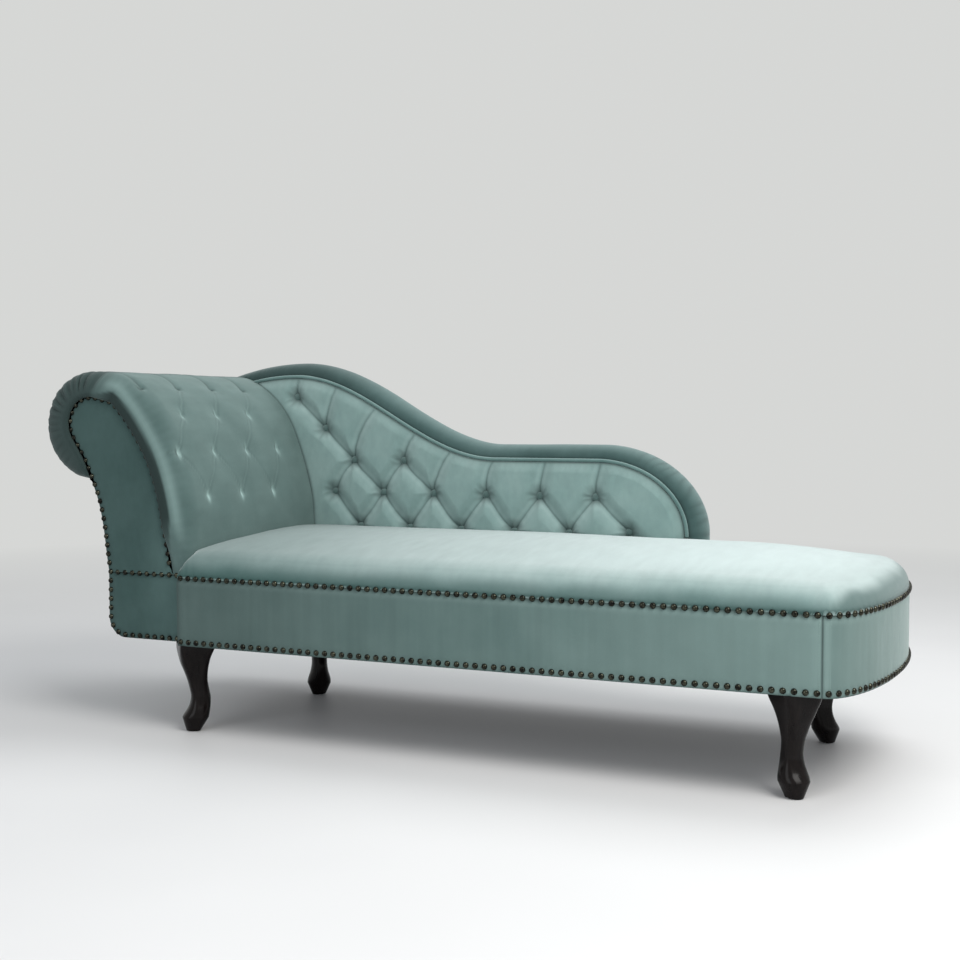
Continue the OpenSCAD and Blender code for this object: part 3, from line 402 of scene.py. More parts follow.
def add_piece(name, points, faces, material, slot, node, **painted_marks):
    """A closed piece with its faces turned outwards and its shares of painted light and painted shade as
    attributes.
    """
    mesh = bpy.data.meshes.new(name)
    mesh.from_pydata(points.tolist(), [], faces)
    for word in sorted(painted_marks):
        shares = np.zeros(len(points), np.float32)
        shares[:painted_marks[word].size] = painted_marks[word].reshape(-1)
        mesh.attributes.new(word, "FLOAT", "POINT").data.foreach_set("value", shares)
    made = bmesh.new()
    made.from_mesh(mesh)
    bmesh.ops.remove_doubles(made, verts=made.verts, dist=1e-6)
    bmesh.ops.recalc_face_normals(made, faces=made.faces)
    made.to_mesh(mesh)
    made.free()
    return dress(new_object(name, mesh), material, [node])


def grid_of(x, y, z):
    """Grid of points from coordinates that are numbers, rows, columns or grids."""
    return np.stack(np.broadcast_arrays(x, y, z), -1)


def grid_faces(rows, cols, start=0, wrap=False):
    """Faces of a grid that is stored row by row; wrap joins the end of each row to its start."""
    i, j = np.meshgrid(np.arange(rows - 1), np.arange(cols if wrap else cols - 1), indexing="ij")
    a, b = start + i * cols + j, start + i * cols + (j + 1) % cols
    return np.stack([a, b, b + cols, a + cols], -1).reshape(-1, 4).tolist()


def rim_of(m, n):
    """Numbers of the outer points of a grid, in order round it."""
    top, right = list(range(n)), [i * n + n - 1 for i in range(1, m)]
    bottom, left = [(m - 1) * n + j for j in range(n - 2, -1, -1)], [i * n for i in range(m - 2, 0, -1)]
    return top + right + bottom + left


def grid_normals(grid, outwards):
    """Unit normals of a grid of points, turned to the side of the outwards vectors."""
    n = np.cross(np.gradient(grid, axis=0), np.gradient(grid, axis=1))
    n /= np.maximum(np.linalg.norm(n, axis=-1, keepdims=True), 1e-12)
    return n * np.sign((n * outwards).sum(-1, keepdims=True) + 1e-9)


def loft(name, rings, material, slot, node, **painted_marks):
    """Closed piece through rings of points, with a flat cap at each end."""
    m, n = rings.shape[:2]
    faces = grid_faces(m, n, 0, True) + [list(range(n)), [(m - 1) * n + j for j in range(n - 1, -1, -1)]]
    return add_piece(name, rings.reshape(-1, 3), faces, material, slot, node, **painted_marks)


def closed_to(name, points, faces, rim, axis, level, material, slot, node, **painted_marks):
    """Closed piece: a surface whose outer points run straight on to a flat plane."""
    behind = points[rim].copy()
    behind[:, axis] = level
    first, count = len(points), len(rim)
    walls = [[rim[k], rim[(k + 1) % count], first + (k + 1) % count, first + k] for k in range(count)]
    closed = faces + walls + [[first + k for k in range(count)]]
    return add_piece(name, np.concatenate([points, behind]), closed, material, slot, node, **painted_marks)


def sheet_of(name, outer, inner, material, slot, node, rests_on, size, area=None, **painted_marks):
    """Sheet of cloth between two grids, joined round its rim."""
    m, n = outer.shape[:2]
    rim = rim_of(m, n)
    faces = grid_faces(m, n) + [f[::-1] for f in grid_faces(m, n, m * n)]
    faces += [[a, b, b + m * n, a + m * n] for a, b in zip(rim, rim[1:] + rim[:1])]
    points = np.concatenate([outer.reshape(-1, 3), inner.reshape(-1, 3)])
    sheet = add_piece(name, points, faces, material, slot, node, **painted_marks)


def area_of(flat):
    """Area of a grid of points that lie in a plane."""
    a, b = flat[1:, 1:] - flat[:-1, :-1], flat[1:, :-1] - flat[:-1, 1:]
    return float(np.abs(a[..., 0] * b[..., 1] - a[..., 1] * b[..., 0]).sum() / 2)


# Outlines of the arm and the back, as the frame has them

arm_run, arm_rise = x_seam - x_left - roll_r, arm_h - nail_z


def arm_at(shares):
    """Places that are shares of the arm's run and rise away from the seat's corner."""
    return np.array([x_seam, nail_z]) + np.array(shares) * [-arm_run, arm_rise]


face_shares = [[0, 0], [0, 0.18], [0.027, 0.373], [0.129, 0.590], [0.255, 0.769], [0.449, 0.907],
               [0.700, 0.984], [1, 1]]
inner_shares = [[0.163, 0], [0.213, 0.184], [0.274, 0.386], [0.376, 0.563], [0.544, 0.730], [0.700, 0.838]]
outer_shares = [[0.977, 0.565], [0.894, 0.459], [0.829, 0.356], [0.783, 0.233], [0.750, 0.080], [0.730, 0]]
face_steps, side_steps = 12, 10
roll_c = np.array([x_left + roll_r, arm_h - roll_r])
scroll_c = arm_at([0.905, 0.732])
face_line = catmull(arm_at(face_shares), face_steps)
neck = arm_at(outer_shares[1])
arm_skin = resample(np.concatenate([face_line[:-1], arc(roll_c, roll_r, 90, 270, 60), [neck]]), 4 * MM)
inner_line = catmull(arm_at(inner_shares), side_steps)
scroll_line = arc(scroll_c, scroll_r, 82, 205, 40)
outer_line = catmull(arm_at(outer_shares), side_steps)
facing_line = np.concatenate([inner_line, scroll_line, outer_line])
neck_i = len(inner_line) + len(scroll_line) + side_steps
x_heel = facing_line[-1, 0]
heel_c = np.array([x_heel + heel_r, base_z + facing_edge + heel_r])
x_side, side_r = x_heel - facing_edge, heel_r + facing_edge
side_below_neck = np.concatenate([moved(facing_line, facing_edge)[neck_i:-1], [[x_side, nail_z]]])

x_crest, x_hump = x_seam - 265 * MM, x_seam - 54 * MM
x_fall, x_low = x_seam + 445 * MM, x_seam + 675 * MM
crest_r = 550 * MM
hump_z, low_z, end_z = arm_h - 7 * MM, 523 * MM, seat_top - 11 * MM


def piping_z(x):
    """Height of the back's line: crest by the arm, long fall, level stretch and rounded end."""
    crest = hump_z - (x - x_hump) ** 2 / (2 * crest_r)
    fall = low_z + (hump_z - low_z) * (1 + np.cos(np.pi * (x - x_hump) / (x_fall - x_hump))) / 2
    end = end_z + (low_z - end_z) * chord(1, (x - x_low) / (x_end - x_low))
    return np.where(x < x_hump, crest, np.where(x < x_fall, fall, np.where(x < x_low, low_z, end)))


run = np.concatenate([np.linspace(x_crest, x_low, 150),
                      x_low + (x_end - x_low) * np.sin(np.linspace(0.05, np.pi / 2, 60))])
piping_line = np.stack([run, piping_z(run)], 1)
first_button = (x_seam + 49 * MM, seat_top - 5 * MM)


def button_at(row, k):
    """Place of a button; the first five of the lowest row sit further left and lower."""
    low = row == 0 and k < 5
    x = first_button[0] + tuft_pitch * (k + (0.5 if row % 2 == 0 else 0)) - tuft_lean * (row - 1)
    return x - low * 8 * MM, first_button[1] + tuft_rise * row - low * 6 * MM


def arm_face_x(z):
    """Face of the arm at a height, from the seat up to the scroll."""
    return np.interp(z, face_line[:, 1], face_line[:, 0])


# Plan of the seat, with the nails' path round it from its corner by the arm


def bow_plan(steps):
    a = np.radians(np.linspace(-90, 90, steps + 1))
    return np.stack([x_foot + bow * np.cos(a), y_mid + half_d * np.sin(a)], 1)


def x_out(y):
    return x_foot + bow * chord(1, (y - y_mid) / half_d)


seat_path = np.concatenate([[[x_seam, y_front]], bow_plan(26)])
seam_s = lengths(seat_path)[1]
nail_run = lengths(seat_path)[-1] - nail_d
nail_count = int(round(nail_run / nail_pitch))
seat_nail_s = (np.arange(nail_count) + 0.5) * nail_run / nail_count
nail_step = seat_nail_s[1] - seat_nail_s[0]

# Seat: a stuffed deck under one piece of velvet, rolled over at its edges and tucked in at the arm and back


def place_on(line, x, y):
    """Distance of points from a line, how far along it they are, and the way straight out of it."""
    s = lengths(line)
    best, along = np.full(x.shape, 1e9), np.zeros(x.shape)
    out = np.zeros(x.shape + (2,))
    for k in range(len(line) - 1):
        d, t = to_segment(x, y, line[k], line[k + 1])
        near = d < best
        way = (line[k + 1] - line[k]) / (s[k + 1] - s[k])
        best = np.where(near, d, best)
        along = np.where(near, s[k] + t * (s[k + 1] - s[k]), along)
        out = np.where(near[..., None], np.array([way[1], -way[0]]), out)
    return best, along, out


def seat_surface(x, y):
    """Points of the seat over places of its plan, and its shares of painted light and painted shade there.
    """
    sink_w, tuck_d, tuck_w = 45 * MM, 10 * MM, 12 * MM
    v = (y - y_mid) / half_d
    rear_v = np.where(v > 0, v * (0.68 + 0.32 * step_up((x - notch_x) / 0.3 + 1)), v)
    t = np.clip((x_out(y) - x) / crown_w, 0, 1)
    edge, along, out = place_on(seat_path, x, y)
    rolled = full_round(np.minimum(edge, y_rear - y) / edge_w)
    crown = crown_h * (1 - rear_v ** 2) * (1 - (1 - t) ** 2)
    # Lower beside the arm and the back, most in the corner by the front
    by_back = np.where(x < notch_x, np.exp(-np.maximum(0, seat_rear - y) / sink_w), 0)
    sunk = 4 * MM * (np.exp(-(x - x_seam) / sink_w) + by_back)
    corner = 12 * MM * (1 - step_up(v + 0.4)) * np.exp(-(x - x_seam) / (90 * MM)) * rolled
    z = nail_z + edge_h * rolled + crown - (1 - v * v) * (sunk + corner)
    # Tucked in along the arm, the back and the notch behind the border's end
    for a, b in (((x_seam, y_arm), (x_seam, y_rear)), ((x_seam, seat_rear), (notch_x, seat_rear)),
                 ((notch_x, seat_rear), (notch_x, y_rear))):
        z -= tuck_d * (1 - swell(to_segment(x, y, a, b)[0] / tuck_w)) * swell(edge / (2 * tuck_w))
    # Thinner and pleated at the corner in front of the arm
    free = to_segment(x, y, (x_seam, y_front), (x_seam, y_arm))[0]
    z = nail_z + (z - nail_z) * (0.3 + 0.7 * swell(free / (24 * MM)))
    pleat = np.zeros(x.shape)
    for reach, deep in ((6, 1), (22, 0.45), (40, 0.2)):
        d, share = to_segment(x, y, (x_seam + 4 * MM, y_arm + 4 * MM), (x_seam + reach * MM, y_front))
        pleat = np.maximum(pleat, deep * peak(d, 2.6) * (0.4 + 0.6 * share))
    z -= 2.6 * MM * pleat * swell(edge / (8 * MM))
    # Slack, and pulls at the nails
    z += (0.9 * MM * wander(3, x, y, 0.13) + 0.35 * MM * wander(4, x, y, 0.045)) * swell(edge / edge_w)
    up = z - nail_z
    drawn = 0.9 * MM * peak(up, 9) * ripple(along, nail_step)
    shift = -(0.4 * MM + 1.4 * MM * peak(up, 5)) * (up < 40 * MM) + drawn
    points = grid_of(x + out[..., 0] * shift, y + out[..., 1] * shift, z)
    # Painted shade where the velvet turns down, in the pleats, along the nail line and in the arm's shadow;
    # painted light on top towards the foot end
    at_foot = step_up((x - x_foot) / (0.55 * bow))
    band = (38 + 17 * at_foot + (4 + 2 * at_foot) * wander(5, x, y, 0.05)) * MM
    band -= 10 * MM * peak(x - x_foot, 60)
    turned_down = (0.66 - 0.14 * step_up((x + 0.1) / 0.7) + 0.2 * at_foot) * past(band - up, 0, 28)
    arm_shadow = 0.58 * bell((x - x_seam) / 0.42)
    creased = either(0.6 * pleat, 0.85 * peak(up, 7), turned_down, arm_shadow)
    brushed = 0.22 * step_up((x - 0.1) / 0.5) * past(up, 45, 20)
    return points, brushed, creased


def make_seat():
    """Two grids, in front of the back's face and behind it, joined and closed down to the rails."""
    front_y = y_front + (seat_rear - y_front) * eased(121)
    rear_y = seat_rear + (y_rear - seat_rear) * np.sin(np.linspace(0, np.pi / 2, 33))[1:]
    left = x_seam + gap + (notch_x - x_seam - gap) * (np.linspace(0, 1, 181) ** 1.15)
    way = np.sin(np.linspace(0, np.pi / 2, 91))[1:]
    parts = []
    for y, start in ((front_y, left), (rear_y, left[-1:])):
        right = notch_x + (x_out(y)[:, None] - notch_x) * way[None, :]
        x = np.concatenate([np.broadcast_to(start, (len(y), len(start))), right], 1)
        parts.append(seat_surface(x, np.broadcast_to(y[:, None], x.shape)))
    (m, n), (mb, nb) = [part[1].shape for part in parts]
    k, last, start = len(left) - 1, (m - 1) * n, m * n
    faces = grid_faces(m, n) + grid_faces(mb, nb, start)
    faces += [[last + k + j, last + k + j + 1, start + j + 1, start + j] for j in range(nb - 1)]
    foot = [i * n + n - 1 for i in range(1, m)] + [start + i * nb + nb - 1 for i in range(mb)]
    rear = [start + (mb - 1) * nb + j for j in range(nb - 2, -1, -1)]
    notch = [start + i * nb for i in range(mb - 2, -1, -1)]
    rim = list(range(n)) + foot + rear + notch + [last + j for j in range(k, -1, -1)]
    rim += [i * n for i in range(m - 2, 0, -1)]
    points = np.concatenate([part[0].reshape(-1, 3) for part in parts])
    brushed, creased = [np.concatenate([part[i].reshape(-1) for part in parts]) for i in (1, 2)]
    seat = closed_to("seat_velvet", points, faces, rim, 2, nail_z, velvet_seat, "velvet_seat", "seat_cover",
                     brushed=brushed, creased=creased)


make_seat()

# Base: velvet over the rails, nailed in two rows, seamed at the foot corner

stitch_rows = (5 * MM, 13 * MM)


def base_panel(name, line, s0, node, rests_on, is_front):
    """Velvet pulled round a line in plan, from a length s0 of the nails' path on."""
    path = resample(line, 3 * MM)
    s = lengths(path)
    along, z = np.broadcast_arrays(s[:, None] + s0, np.linspace(base_z, nail_z, 45)[None, :])
    rows = np.maximum(peak(z - nail_z, 8), peak(z - low_row_z, 8))
    # Full between the rows of nails, drawn in at each nail
    bulge = 0.5 * MM * (1 - rows) + 0.9 * MM * rows * ripple(along, nail_step) - 0.7 * MM * rows
    bulge += 0.5 * MM * wander(11, along, z, 0.06) * (1 - rows)
    bulge += 0.25 * MM * wander(12, along, z * 0.3, 0.018)
    edge = np.minimum(z - base_z, nail_z - z)
    bulge -= 1.3 * MM * (1 - swell(edge / (4 * MM)))
    # Painted shade along the turned top and bottom edges
    panel_shade = 0.6 * peak(edge, 2.5)
    brushed = 0 * z
    # Drawn in at both ends, and sewn at the foot corner
    for end, seamed in ((s0, not is_front), (s0 + s[-1], is_front)):
        d = np.abs(along - end)
        bulge -= 1.5 * MM * (1 - swell(d / (2.4 * MM)))
        # Painted shade where the velvet is drawn in at the ends; painted light on a strip beside the seam
        # and around it
        panel_shade = np.maximum(panel_shade, 0.75 * peak(d, 1.6))
        if seamed:
            for row in stitch_rows:
                bulge -= 0.5 * MM * peak(d - row, 1.4)
            strip = (0.07 if is_front else 0.24) * peak(d, 7, 7)
            brushed = np.maximum(brushed, strip + 0.12 * peak(d, 80))
    # Painted shade near the arm, at the front corner by it, under the upper nails and a little over the
    # whole foot panel; painted light in a strip below the nails and towards the right of the front
    broad_shade = 0.48 * (1 - step_up((path[:, :1] - x_seam) / 0.75)) + (0 if is_front else 0.10)
    to_right = 0.15 * step_up((path[:, :1] - 0.15) / 0.45) * is_front
    below = nail_z - z
    panel_shade = either(panel_shade, 0.5 * peak(along, 7), 0.6 * peak(below, 5), broad_shade)
    brushed = either(brushed, 0.12 * peak(below, 5, 9), to_right)
    out = right_of(path)[:, None]
    outer, inner = [grid_of(*np.moveaxis(path[:, None] + out * d[..., None], -1, 0), z)
                    for d in (bulge, np.full(z.shape, -cloth))]
    sheet_of(name, outer, inner, velvet_base, "velvet_base", node, [rests_on], (s[-1], nail_z - base_z),
             creased=panel_shade, brushed=brushed)


front_plan = np.array([[x_seam, y_arm - gap], [x_seam, y_front], [x_foot, y_front]])
base_panel("front_base_velvet", front_plan, y_front - y_arm + gap, "front_cover", "front_rail", True)
base_panel("foot_base_velvet", bow_plan(200), seam_s, "foot_cover", "foot_rail", False)

# Arm: padding from the seat up over the scroll to the neck, with four staggered rows of blind tufts

tuft_rows = [lengths(face_line)[face_steps * k] + up * MM for k, up in ((2, 5), (3, 5), (4, 9), (5, 11))]
arm_tuft_y = y_arm + 0.21 * arm_pitch


def arm_tuft(row, k):
    return tuft_rows[row], arm_tuft_y + arm_pitch * (k + (0.5 if row % 2 == 0 else 0))


def arm_relief(s, y):
    """Depth under the smooth skin, painted light share and painted shade share at places along the skin and
    the arm.
    """
    depth, brushed, creased = np.zeros(s.shape), np.zeros(s.shape), np.zeros(s.shape)
    # Blind tufts: a dimple with a painted highlight slit and painted shade beside it, and a painted shade
    # spot in the upper row
    for row, glint in enumerate((1, 0.8, 0.6, 0.12)):
        for k in range(4 if row % 2 else 3):
            cs, cy = arm_tuft(row, k)
            ds, dy = s - cs, y - cy
            d = np.hypot(ds, dy)
            depth += 4.2 * MM * peak(d, 30) + 3.0 * MM * peak(d, 8)
            slit = peak(dy, 4.2) * peak(ds, 11, -2)
            brushed = np.maximum(brushed, glint * (0.9 * slit + 0.14 * peak(d, 14)))
            creased = np.maximum(creased, 0.75 * peak(dy, 2.6, -5) * peak(ds, 9))
            if row == 3:
                creased = np.maximum(creased, 0.85 * peak(dy, 7) * peak(ds, 4))
    # Faint creases from tuft to tuft, with painted light and painted shade along them
    links = [(arm_tuft(1, 0), (tuft_rows[1] + 4 * MM, y_arm + 8 * MM))]
    for k in range(3):
        links += [(arm_tuft(0, k), arm_tuft(1, k)), (arm_tuft(0, k), arm_tuft(1, k + 1))]
        links += [(arm_tuft(2, k), arm_tuft(1, k)), (arm_tuft(2, k), arm_tuft(3, k + 1))]
    for a, b in links:
        d, t = to_segment(s, y + 5 * MM * wander(21, s, y, 0.03), a, b)
        soft = 0.3 + 0.7 * np.abs(2 * t - 1)
        depth += 0.8 * MM * peak(d, 3.5) * soft
        brushed = np.maximum(brushed, 0.10 * peak(d, 2.2) * soft)
        creased = np.maximum(creased, 0.24 * peak(d, 2.5, 4) * soft)
    # Long folds from the upper row over the scroll, with painted shade along them
    for k in range(4):
        cs, cy = arm_tuft(3, k)
        d, t = to_segment(s, y, (cs, cy), (cs + 190 * MM, cy + 34 * MM))
        depth += 2.6 * MM * peak(d, 7) * (1 - t) ** 0.7
        creased = np.maximum(creased, 0.5 * peak(d, 3) * (1 - t))
    return depth, brushed, creased


def make_arm_padding():
    """Rings round the padding: a rolled lip over the facing, a round shoulder, then straight back."""
    lip_d, gather_d = 5.5 * MM, 4.2 * MM
    skin_s = lengths(arm_skin)
    root = moved(facing_line, facing_edge + gap)[:neck_i + 1]
    # The lip is small at the seat and at the neck
    at_neck = past(skin_s - skin_s[-1], -70, 50)
    lip = lip_d * (0.1 + 0.9 * past(skin_s, 30, 80) * (1 - at_neck))[None, :]
    lip_turn = np.radians(np.linspace(0, 180, 8))[:-1, None]
    turn = np.radians(np.linspace(0, 86, 18))[:, None]
    back_y = np.append(np.arange(y_arm + arm_round, y_rear - cloth, 4.5 * MM), y_rear - cloth)[:, None]
    # Each ring stands out from the nearest place of its root, nearly square at the seat
    fine_root = resample(root, 0.5 * MM)
    near = np.array([fine_root[np.argmin(np.hypot(*(fine_root - p).T))] for p in arm_skin])
    reach = arm_skin - near
    far = np.linalg.norm(reach, axis=1)
    way = reach / far[:, None]
    far = np.maximum(cloth, far)[None, :]
    square = 1 - 0.6 * (1 - past(skin_s, 0, 70))[None, :]
    out = np.concatenate([-lip * np.sin(lip_turn), far * np.sin(turn) ** square, far + 0 * back_y])
    shoulder = y_arm - 2 * lip + (arm_round + 2 * lip) * (1 - np.cos(turn) ** square)
    y = np.concatenate([y_arm - lip * (1 - np.cos(lip_turn)), shoulder, back_y + 0 * far])
    away = np.concatenate([-np.sin(lip_turn), np.sin(turn), np.ones(back_y.shape)])
    ahead = np.concatenate([np.cos(lip_turn), -np.cos(turn), np.zeros(back_y.shape)])
    skin = grid_of(near[:, 0] + way[:, 0] * out, y, near[:, 1] + way[:, 1] * out)
    s = skin_s[None, :] + 0 * y
    depth, brushed, creased = arm_relief(s, y)
    full = past(y - y_arm, 0, 30)
    depth *= full * past(y_pad - y, 0, 30)
    # Gathers where the velvet turns over the scroll's front edge
    round_s = tuft_rows[3] + 60 * MM
    on_roll = past(s - round_s, 0, 60)
    started = np.concatenate([0 * lip_turn, step_up(turn / 0.5), np.ones(back_y.shape)])
    gather = on_roll * np.exp(-np.maximum(0, y - y_arm - 6 * MM) / (30 * MM))
    gather *= started * (1 - 0.65 * past(s - round_s, 190, 110))
    place = s + 5 * MM * wander(22, s * 0.6, y * 0.3, 0.03)
    broad = ripple(place, 23 * MM, 2 * wander(25, s, y * 0.2, 0.05))
    wave = 0.5 * broad + 0.5 * ripple(place, 7.7 * MM) * (0.4 + 0.6 * broad)
    depth += gather_d * gather * wave
    depth += 0.5 * MM * (1 - on_roll) * peak(y - y_arm, 18) * started * ripple(s, nail_pitch)
    slack = 1.3 * MM * wander(23, s, y, 0.085) + 0.45 * MM * wander(24, s, y, 0.03)
    depth += slack * full * past(y_rear - y, 0, 30)
    # Painted shade beside the facing, in the gathers' hollows and over the roll; painted light in a stripe
    # on the shoulder and on the gathers' ridges
    beside = past(s, 40, 90) * (1 - past(s - round_s, -20, 60))
    at_front = y < y_arm + arm_round
    shaded = 0.95 * (1 - past(out - 14 * MM * beside, 0, 5)) * (0.35 + 0.65 * beside) * at_front
    stripe = 0.24 * beside * peak(out, 9, 29) * at_front
    brushed = either(brushed, stripe, 0.20 * gather * (1 - wave) ** 4)
    creased = either(creased, 0.75 * gather * wave ** 2, shaded, 0.76 * on_roll)
    skin -= grid_normals(skin, grid_of(way[:, 0] * away, ahead, way[:, 1] * away)) * depth[..., None]
    inside = resample(root[::-1], 9 * MM)
    back = grid_of(inside[:, 0], np.maximum(y_arm, y.max(axis=1))[:, None], inside[:, 1])
    brushed, creased = [np.concatenate([share, np.zeros(back.shape[:2])], 1) for share in (brushed, creased)]
    arm = loft("arm_velvet", np.concatenate([skin, back], 1), velvet_arm, "velvet_arm", "arm_padding",
               brushed=brushed, creased=creased)


make_arm_padding()

# Flat sides of the arm: its facing, the base below it and its outer side

facing_nails = resample(facing_line[4:], nail_pitch)
corner_x = x_seam - nail_d
heel_line = arc(heel_c, heel_r, 180, 270, 12)
base_side_nails = resample(np.concatenate([[[x_heel, nail_z - nail_pitch]], heel_line,
                                           [[corner_x, base_z + facing_edge]]]), nail_pitch)
base_top_nails = resample(np.array([[corner_x, nail_z], [x_heel + nail_pitch, nail_z]]), nail_pitch)
base_nails = np.concatenate([base_side_nails, base_top_nails])


def facing_plan():
    """Points across the facing, from its inner line to its outer one, and the line round it."""
    rim = moved(facing_line, facing_edge - 0.2 * MM)
    rim[:, 1] = np.maximum(rim[:, 1], nail_z)
    end = lengths(rim)[-1]
    up, down = [along_line(rim, np.linspace(start, 0.56 * end, 110))[:, None] for start in (0, end)]
    t = eased(33)[None, :, None]
    return up * (1 - t) + down * t, rim


def arm_base_plan():
    """Points over the arm's base, from its rounded heel to the seat's corner, and the line round it."""
    turned = heel_c[1] - side_r * np.sin(np.linspace(0.06, np.pi / 2, 24))
    z = np.concatenate([np.linspace(nail_z, heel_c[1], 26), turned])[:, None]
    left = np.where(z > heel_c[1], x_side, heel_c[0] - chord(side_r, z - heel_c[1]))
    x = left + (x_seam - gap - left) * eased(61)
    corner = [[x_seam - gap, base_z], [x_seam - gap, nail_z], [x_side, nail_z]]
    rim = np.concatenate([[[x_side, nail_z]], arc(heel_c, side_r, 180, 270, 30), corner])
    return np.stack(np.broadcast_arrays(x, z), -1), rim


def flat_panel(name, plan, nails, slot, node, size):
    """Velvet over a flat board: full between its nails, drawn in at them and turned over at its edge."""
    flat, rim = plan
    x, z = flat[..., 0], flat[..., 1]
    edge = to_line(x, z, rim)
    nail_away = np.full(x.shape, 1e9)
    for p in nails:
        nail_away = np.minimum(nail_away, np.hypot(x - p[0], z - p[1]))
    full = 1.6 * MM * swell((edge - facing_edge) / (22 * MM)) - 0.9 * MM * peak(nail_away, 7)
    full -= 1.6 * MM * (1 - swell(edge / (4 * MM)))
    full += 0.5 * MM * wander(31, x, z, 0.06) * past(edge, 0, 20)
    # Painted shade at the nails, along the turned edge and in the nook by the seat; painted light towards
    # the seat
    nook = (z < nail_z + 10 * MM) * (1 - past(x_seam - x, 15, 12))
    panel_shade = either(0.5 * peak(nail_away, 7), 0.6 * peak(edge, 2), 0.6 * nook)
    to_seat = 0.22 * past(x - x_heel, 60, 90) * (1 - past(z - nail_z, 40, 120))
    sheet_of(name, grid_of(x, y_arm - full, z), grid_of(x, y_arm + cloth, z), velvet_facing, slot, node,
             ["arm_front_post"], size, area_of(flat), creased=panel_shade, brushed=to_seat)


flat_panel("arm_facing_velvet", facing_plan(), facing_nails, "velvet_arm", "arm_facing", (0.20, 0.45))
flat_panel("arm_base_velvet", arm_base_plan(), base_nails, "velvet_base", "arm_base_cover", (0.20, 0.132))


def make_outer_side():
    """Velvet down the arm's outer side, from the neck round the heel."""
    line = np.concatenate([side_below_neck, arc(heel_c, side_r, 180, 270, 12)])
    outside = resample(line, 5 * MM)
    inside = moved(outside, 0.1 * MM - cloth)
    ys = np.linspace(y_arm + cloth, y_rear - cloth, 110)
    s, y = np.broadcast_arrays(lengths(outside)[None, :], ys[:, None])
    full = 0.8 * MM * wander(41, s, y, 0.09)
    full *= past(y - ys[0], 0, 30) * past(ys[-1] - y, 0, 30)
    out = right_of(outside)
    outer = grid_of(outside[:, 0] + out[:, 0] * full, y, outside[:, 1] + out[:, 1] * full)
    sheet_of("arm_outer_velvet", outer, grid_of(inside[:, 0], y, inside[:, 1]), velvet_facing, "velvet_arm",
             "arm_outer_cover", ["arm_front_post", "arm_rear_post"], (s[0, -1], ys[-1] - ys[0]))


make_outer_side()

# Back: deep diamond tufting, with a pleat from each upper button to the piping

button_places = [button_at(row, k) for row in (0, 1) for k in range(6)]
button_places += [button_at(2, 0), button_at(2, 1), button_at(3, 0), button_at(4, -1)]
pleat_places = [button_at(4, -1), button_at(3, 0), button_at(2, 0), button_at(2, 1)]
pleat_places += [button_at(1, k) for k in (2, 3, 4, 5)]


def back_folds():
    """Lines of the folds, each with the share of its middle, or of its end, where the fold dies away."""
    lines = []
    for k in range(6):
        lines += [(button_at(1, k), button_at(0, k))]
        lines += [(button_at(0, k), button_at(-1, k)), (button_at(0, k), button_at(-1, k + 1))]
    lines += [(button_at(1, k), button_at(0, k - 1)) for k in range(1, 6)]
    for k in (0, 1):
        lines += [(button_at(2, k), button_at(1, k)), (button_at(2, k), button_at(1, k + 1))]
    lines += [(button_at(3, 0), button_at(2, 0)), (button_at(4, -1), button_at(3, 0))]
    folds = [(line, lambda t: 1 - np.abs(2 * t - 1)) for line in lines]
    for bx, bz in pleat_places:
        slope = float(piping_z(bx + 5 * MM) - piping_z(bx - 5 * MM)) / (10 * MM)
        lean = 0.18 - 0.55 * slope
        tall = float(piping_z(bx)) - bz
        tall = float(piping_z(bx + lean * tall)) - bz
        line = [(bx + lean * tall * u ** 1.8, bz + tall * u) for u in (0, 0.25, 0.5, 0.75, 1)]
        folds.append((line, lambda t: t))
    return folds


def back_grid():
    """Grid over the back's face; its columns lean to the arm's face and end under the piping."""
    x_far, low = x_end - gap, nail_z + 31 * MM
    x0 = x_seam + gap + (x_far - x_seam) * np.linspace(0, 1, 440)
    sway = (1 - np.clip((x0 - x_seam) / 0.42, 0, 1)) ** 2
    top = np.full(x0.shape, 0.6)
    for _ in range(60):
        reach_x = np.minimum(x0 + sway * (arm_face_x(top) - x_seam), x_far)
        top = 0.5 * top + 0.5 * piping_z(reach_x)
    z = low + (top[:, None] - low) * np.linspace(0, 1, 150)[None, :]
    return np.minimum(x0[:, None] + sway[:, None] * (arm_face_x(z) - x_seam), x_far), z


